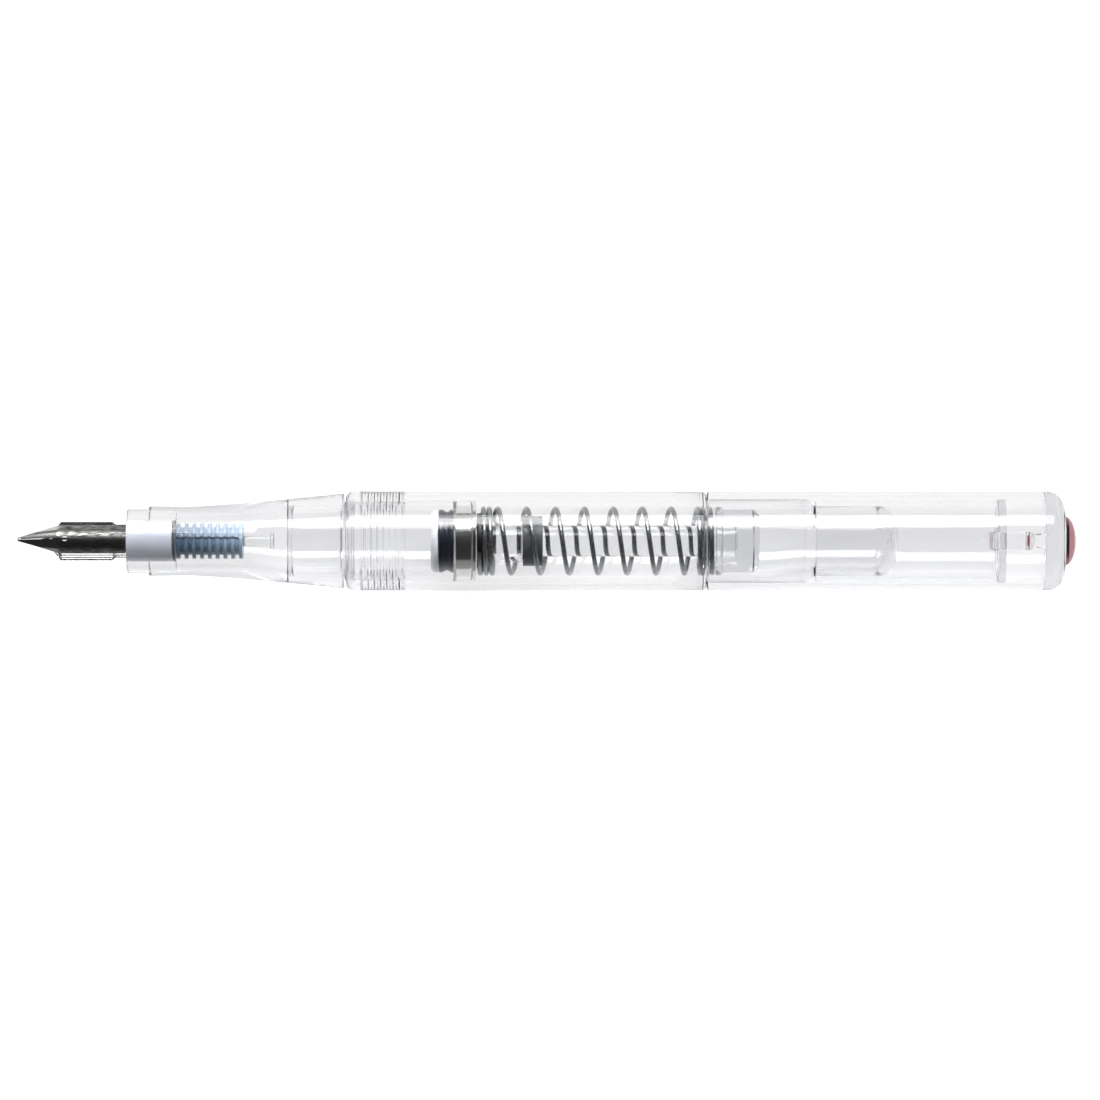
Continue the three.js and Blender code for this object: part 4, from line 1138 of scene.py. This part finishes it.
class PEN_OT_stage(bpy.types.Operator):
    """Pale floor, soft studio lights and the camera"""

    bl_idname = "pen.make_stage"
    bl_label = "Stage"

    def execute(self, context):
        scene = context.scene
        self.floor(scene)
        self.flag()
        self.lights(scene)
        self.camera(scene)
        scene.view_settings.view_transform = "Standard"
        scene.cycles.max_bounces = 40
        scene.cycles.transmission_bounces = 40
        scene.cycles.glossy_bounces = 12
        scene.cycles.transparent_max_bounces = 40
        return {"FINISHED"}

    def floor(self, scene):
        bm = bmesh.new()
        bmesh.ops.create_grid(bm, x_segments=1, y_segments=1, size=FLOOR_HALF)
        bmesh.ops.translate(bm, verts=bm.verts, vec=(0, 0, CAD_BOX[0][2]))
        floor = loose_object("floor", bm)
        finish = Finish("floor", Base_Color=scene.pen_colours.floor, Roughness=0.7)
        finish.set("Emission Color", (1, 1, 1))
        stage = scene.pen_stage
        path = finish.tree.nodes.new("ShaderNodeLightPath")
        lift = math_node(finish.tree, "MULTIPLY", path.outputs["Is Camera Ray"], stage.backdrop_lift)
        glow = math_node(finish.tree, "ADD", lift, stage.floor_glow)
        finish.link(glow, finish.shader.inputs["Emission Strength"])
        floor.data.materials.append(finish.material)

    def flag(self):
        """A black card round the camera, hung over gloss pieces, that gives no shadow."""
        bm = bmesh.new()
        bmesh.ops.create_grid(bm, x_segments=1, y_segments=1, size=1)
        bmesh.ops.scale(bm, verts=bm.verts, vec=(*FLAG_HALF, 1))
        bmesh.ops.translate(bm, verts=bm.verts, vec=FLAG_CENTRE)
        card = loose_object("black_card", bm)
        finish = Finish("black_card", Base_Color=(0.01, 0.01, 0.01), Roughness=0.9)
        card.data.materials.append(finish.material)
        for sight in ("camera", "diffuse", "volume_scatter", "shadow"):
            setattr(card, "visible_" + sight, False)

    def lights(self, scene):
        stage = scene.pen_stage
        world = bpy.data.worlds.new("studio")
        world.use_nodes = True
        world.node_tree.nodes["Background"].inputs["Color"].default_value = (1, 1, 1, 1)
        world.node_tree.nodes["Background"].inputs["Strength"].default_value = stage.sky
        scene.world = world
        self.panel("side_panel", (0, 0.466, 0.378), (0.6, 0.24), stage.side_light, scene)

    def panel(self, name, place, size, power, scene):
        """A long soft light that faces the pen."""
        light = bpy.data.lights.new(name, "AREA")
        light.shape = "RECTANGLE"
        light.size, light.size_y = size
        light.energy = power
        lamp = bpy.data.objects.new(name, light)
        lamp.location = place
        lamp.rotation_euler = (-Vector(place)).to_track_quat("-Z", "Y").to_euler()
        lamp.visible_camera = False
        scene.collection.objects.link(lamp)

    def camera(self, scene):
        stage = scene.pen_stage
        middle = (Vector(CAD_BOX[0]) + Vector(CAD_BOX[1])) / 2
        view = bpy.data.cameras.new("camera")
        view.sensor_width = SENSOR
        view.lens = stage.lens
        camera = bpy.data.objects.new("camera", view)
        distance = stage.view_width * stage.lens / SENSOR
        camera.location = (middle.x + VIEW_SHIFT[0], VIEW_SHIFT[1], AXIS + distance)
        view.clip_end = distance * 4
        scene.collection.objects.link(camera)
        scene.camera = camera


# ---- Add-on ----------------------------------------------------------------------------------------------

MAKERS = (
    PEN_OT_stage, PEN_OT_nib, PEN_OT_feed, PEN_OT_sleeve, PEN_OT_grip, PEN_OT_chamber, PEN_OT_barrel,
    PEN_OT_rings, PEN_OT_piston, PEN_OT_plunger, PEN_OT_filler, PEN_OT_spring, PEN_OT_cap, PEN_OT_inner_cap,
    PEN_OT_finial,
)


class PEN_PT_sidebar(bpy.types.Panel):
    """Lists the pen's pieces and their settings"""

    bl_idname = "PEN_PT_sidebar"
    bl_label = "Clear fountain pen"
    bl_space_type = "VIEW_3D"
    bl_region_type = "UI"
    bl_category = "Pen"

    def draw(self, context):
        for maker in MAKERS:
            self.layout.operator(maker.bl_idname)
        for settings in (context.scene.pen_sizes, context.scene.pen_colours, context.scene.pen_stage):
            box = self.layout.box()
            for label in settings.bl_rna.properties.keys():
                if label not in ("rna_type", "name"):
                    box.prop(settings, label)


SETTINGS = {"pen_sizes": PenSizes, "pen_colours": PenColours, "pen_stage": PenStage}
CLASSES = (*SETTINGS.values(), *MAKERS, PEN_PT_sidebar)


def register():
    for item in CLASSES:
        bpy.utils.register_class(item)
    for label, group in SETTINGS.items():
        setattr(bpy.types.Scene, label, PointerProperty(type=group))


def unregister():
    for label in SETTINGS:
        delattr(bpy.types.Scene, label)
    for item in reversed(CLASSES):
        bpy.utils.unregister_class(item)


def main():
    register()
    for maker in MAKERS:
        category, name = maker.bl_idname.split(".")
        getattr(getattr(bpy.ops, category), name)()


if __name__ == "__main__":
    main()
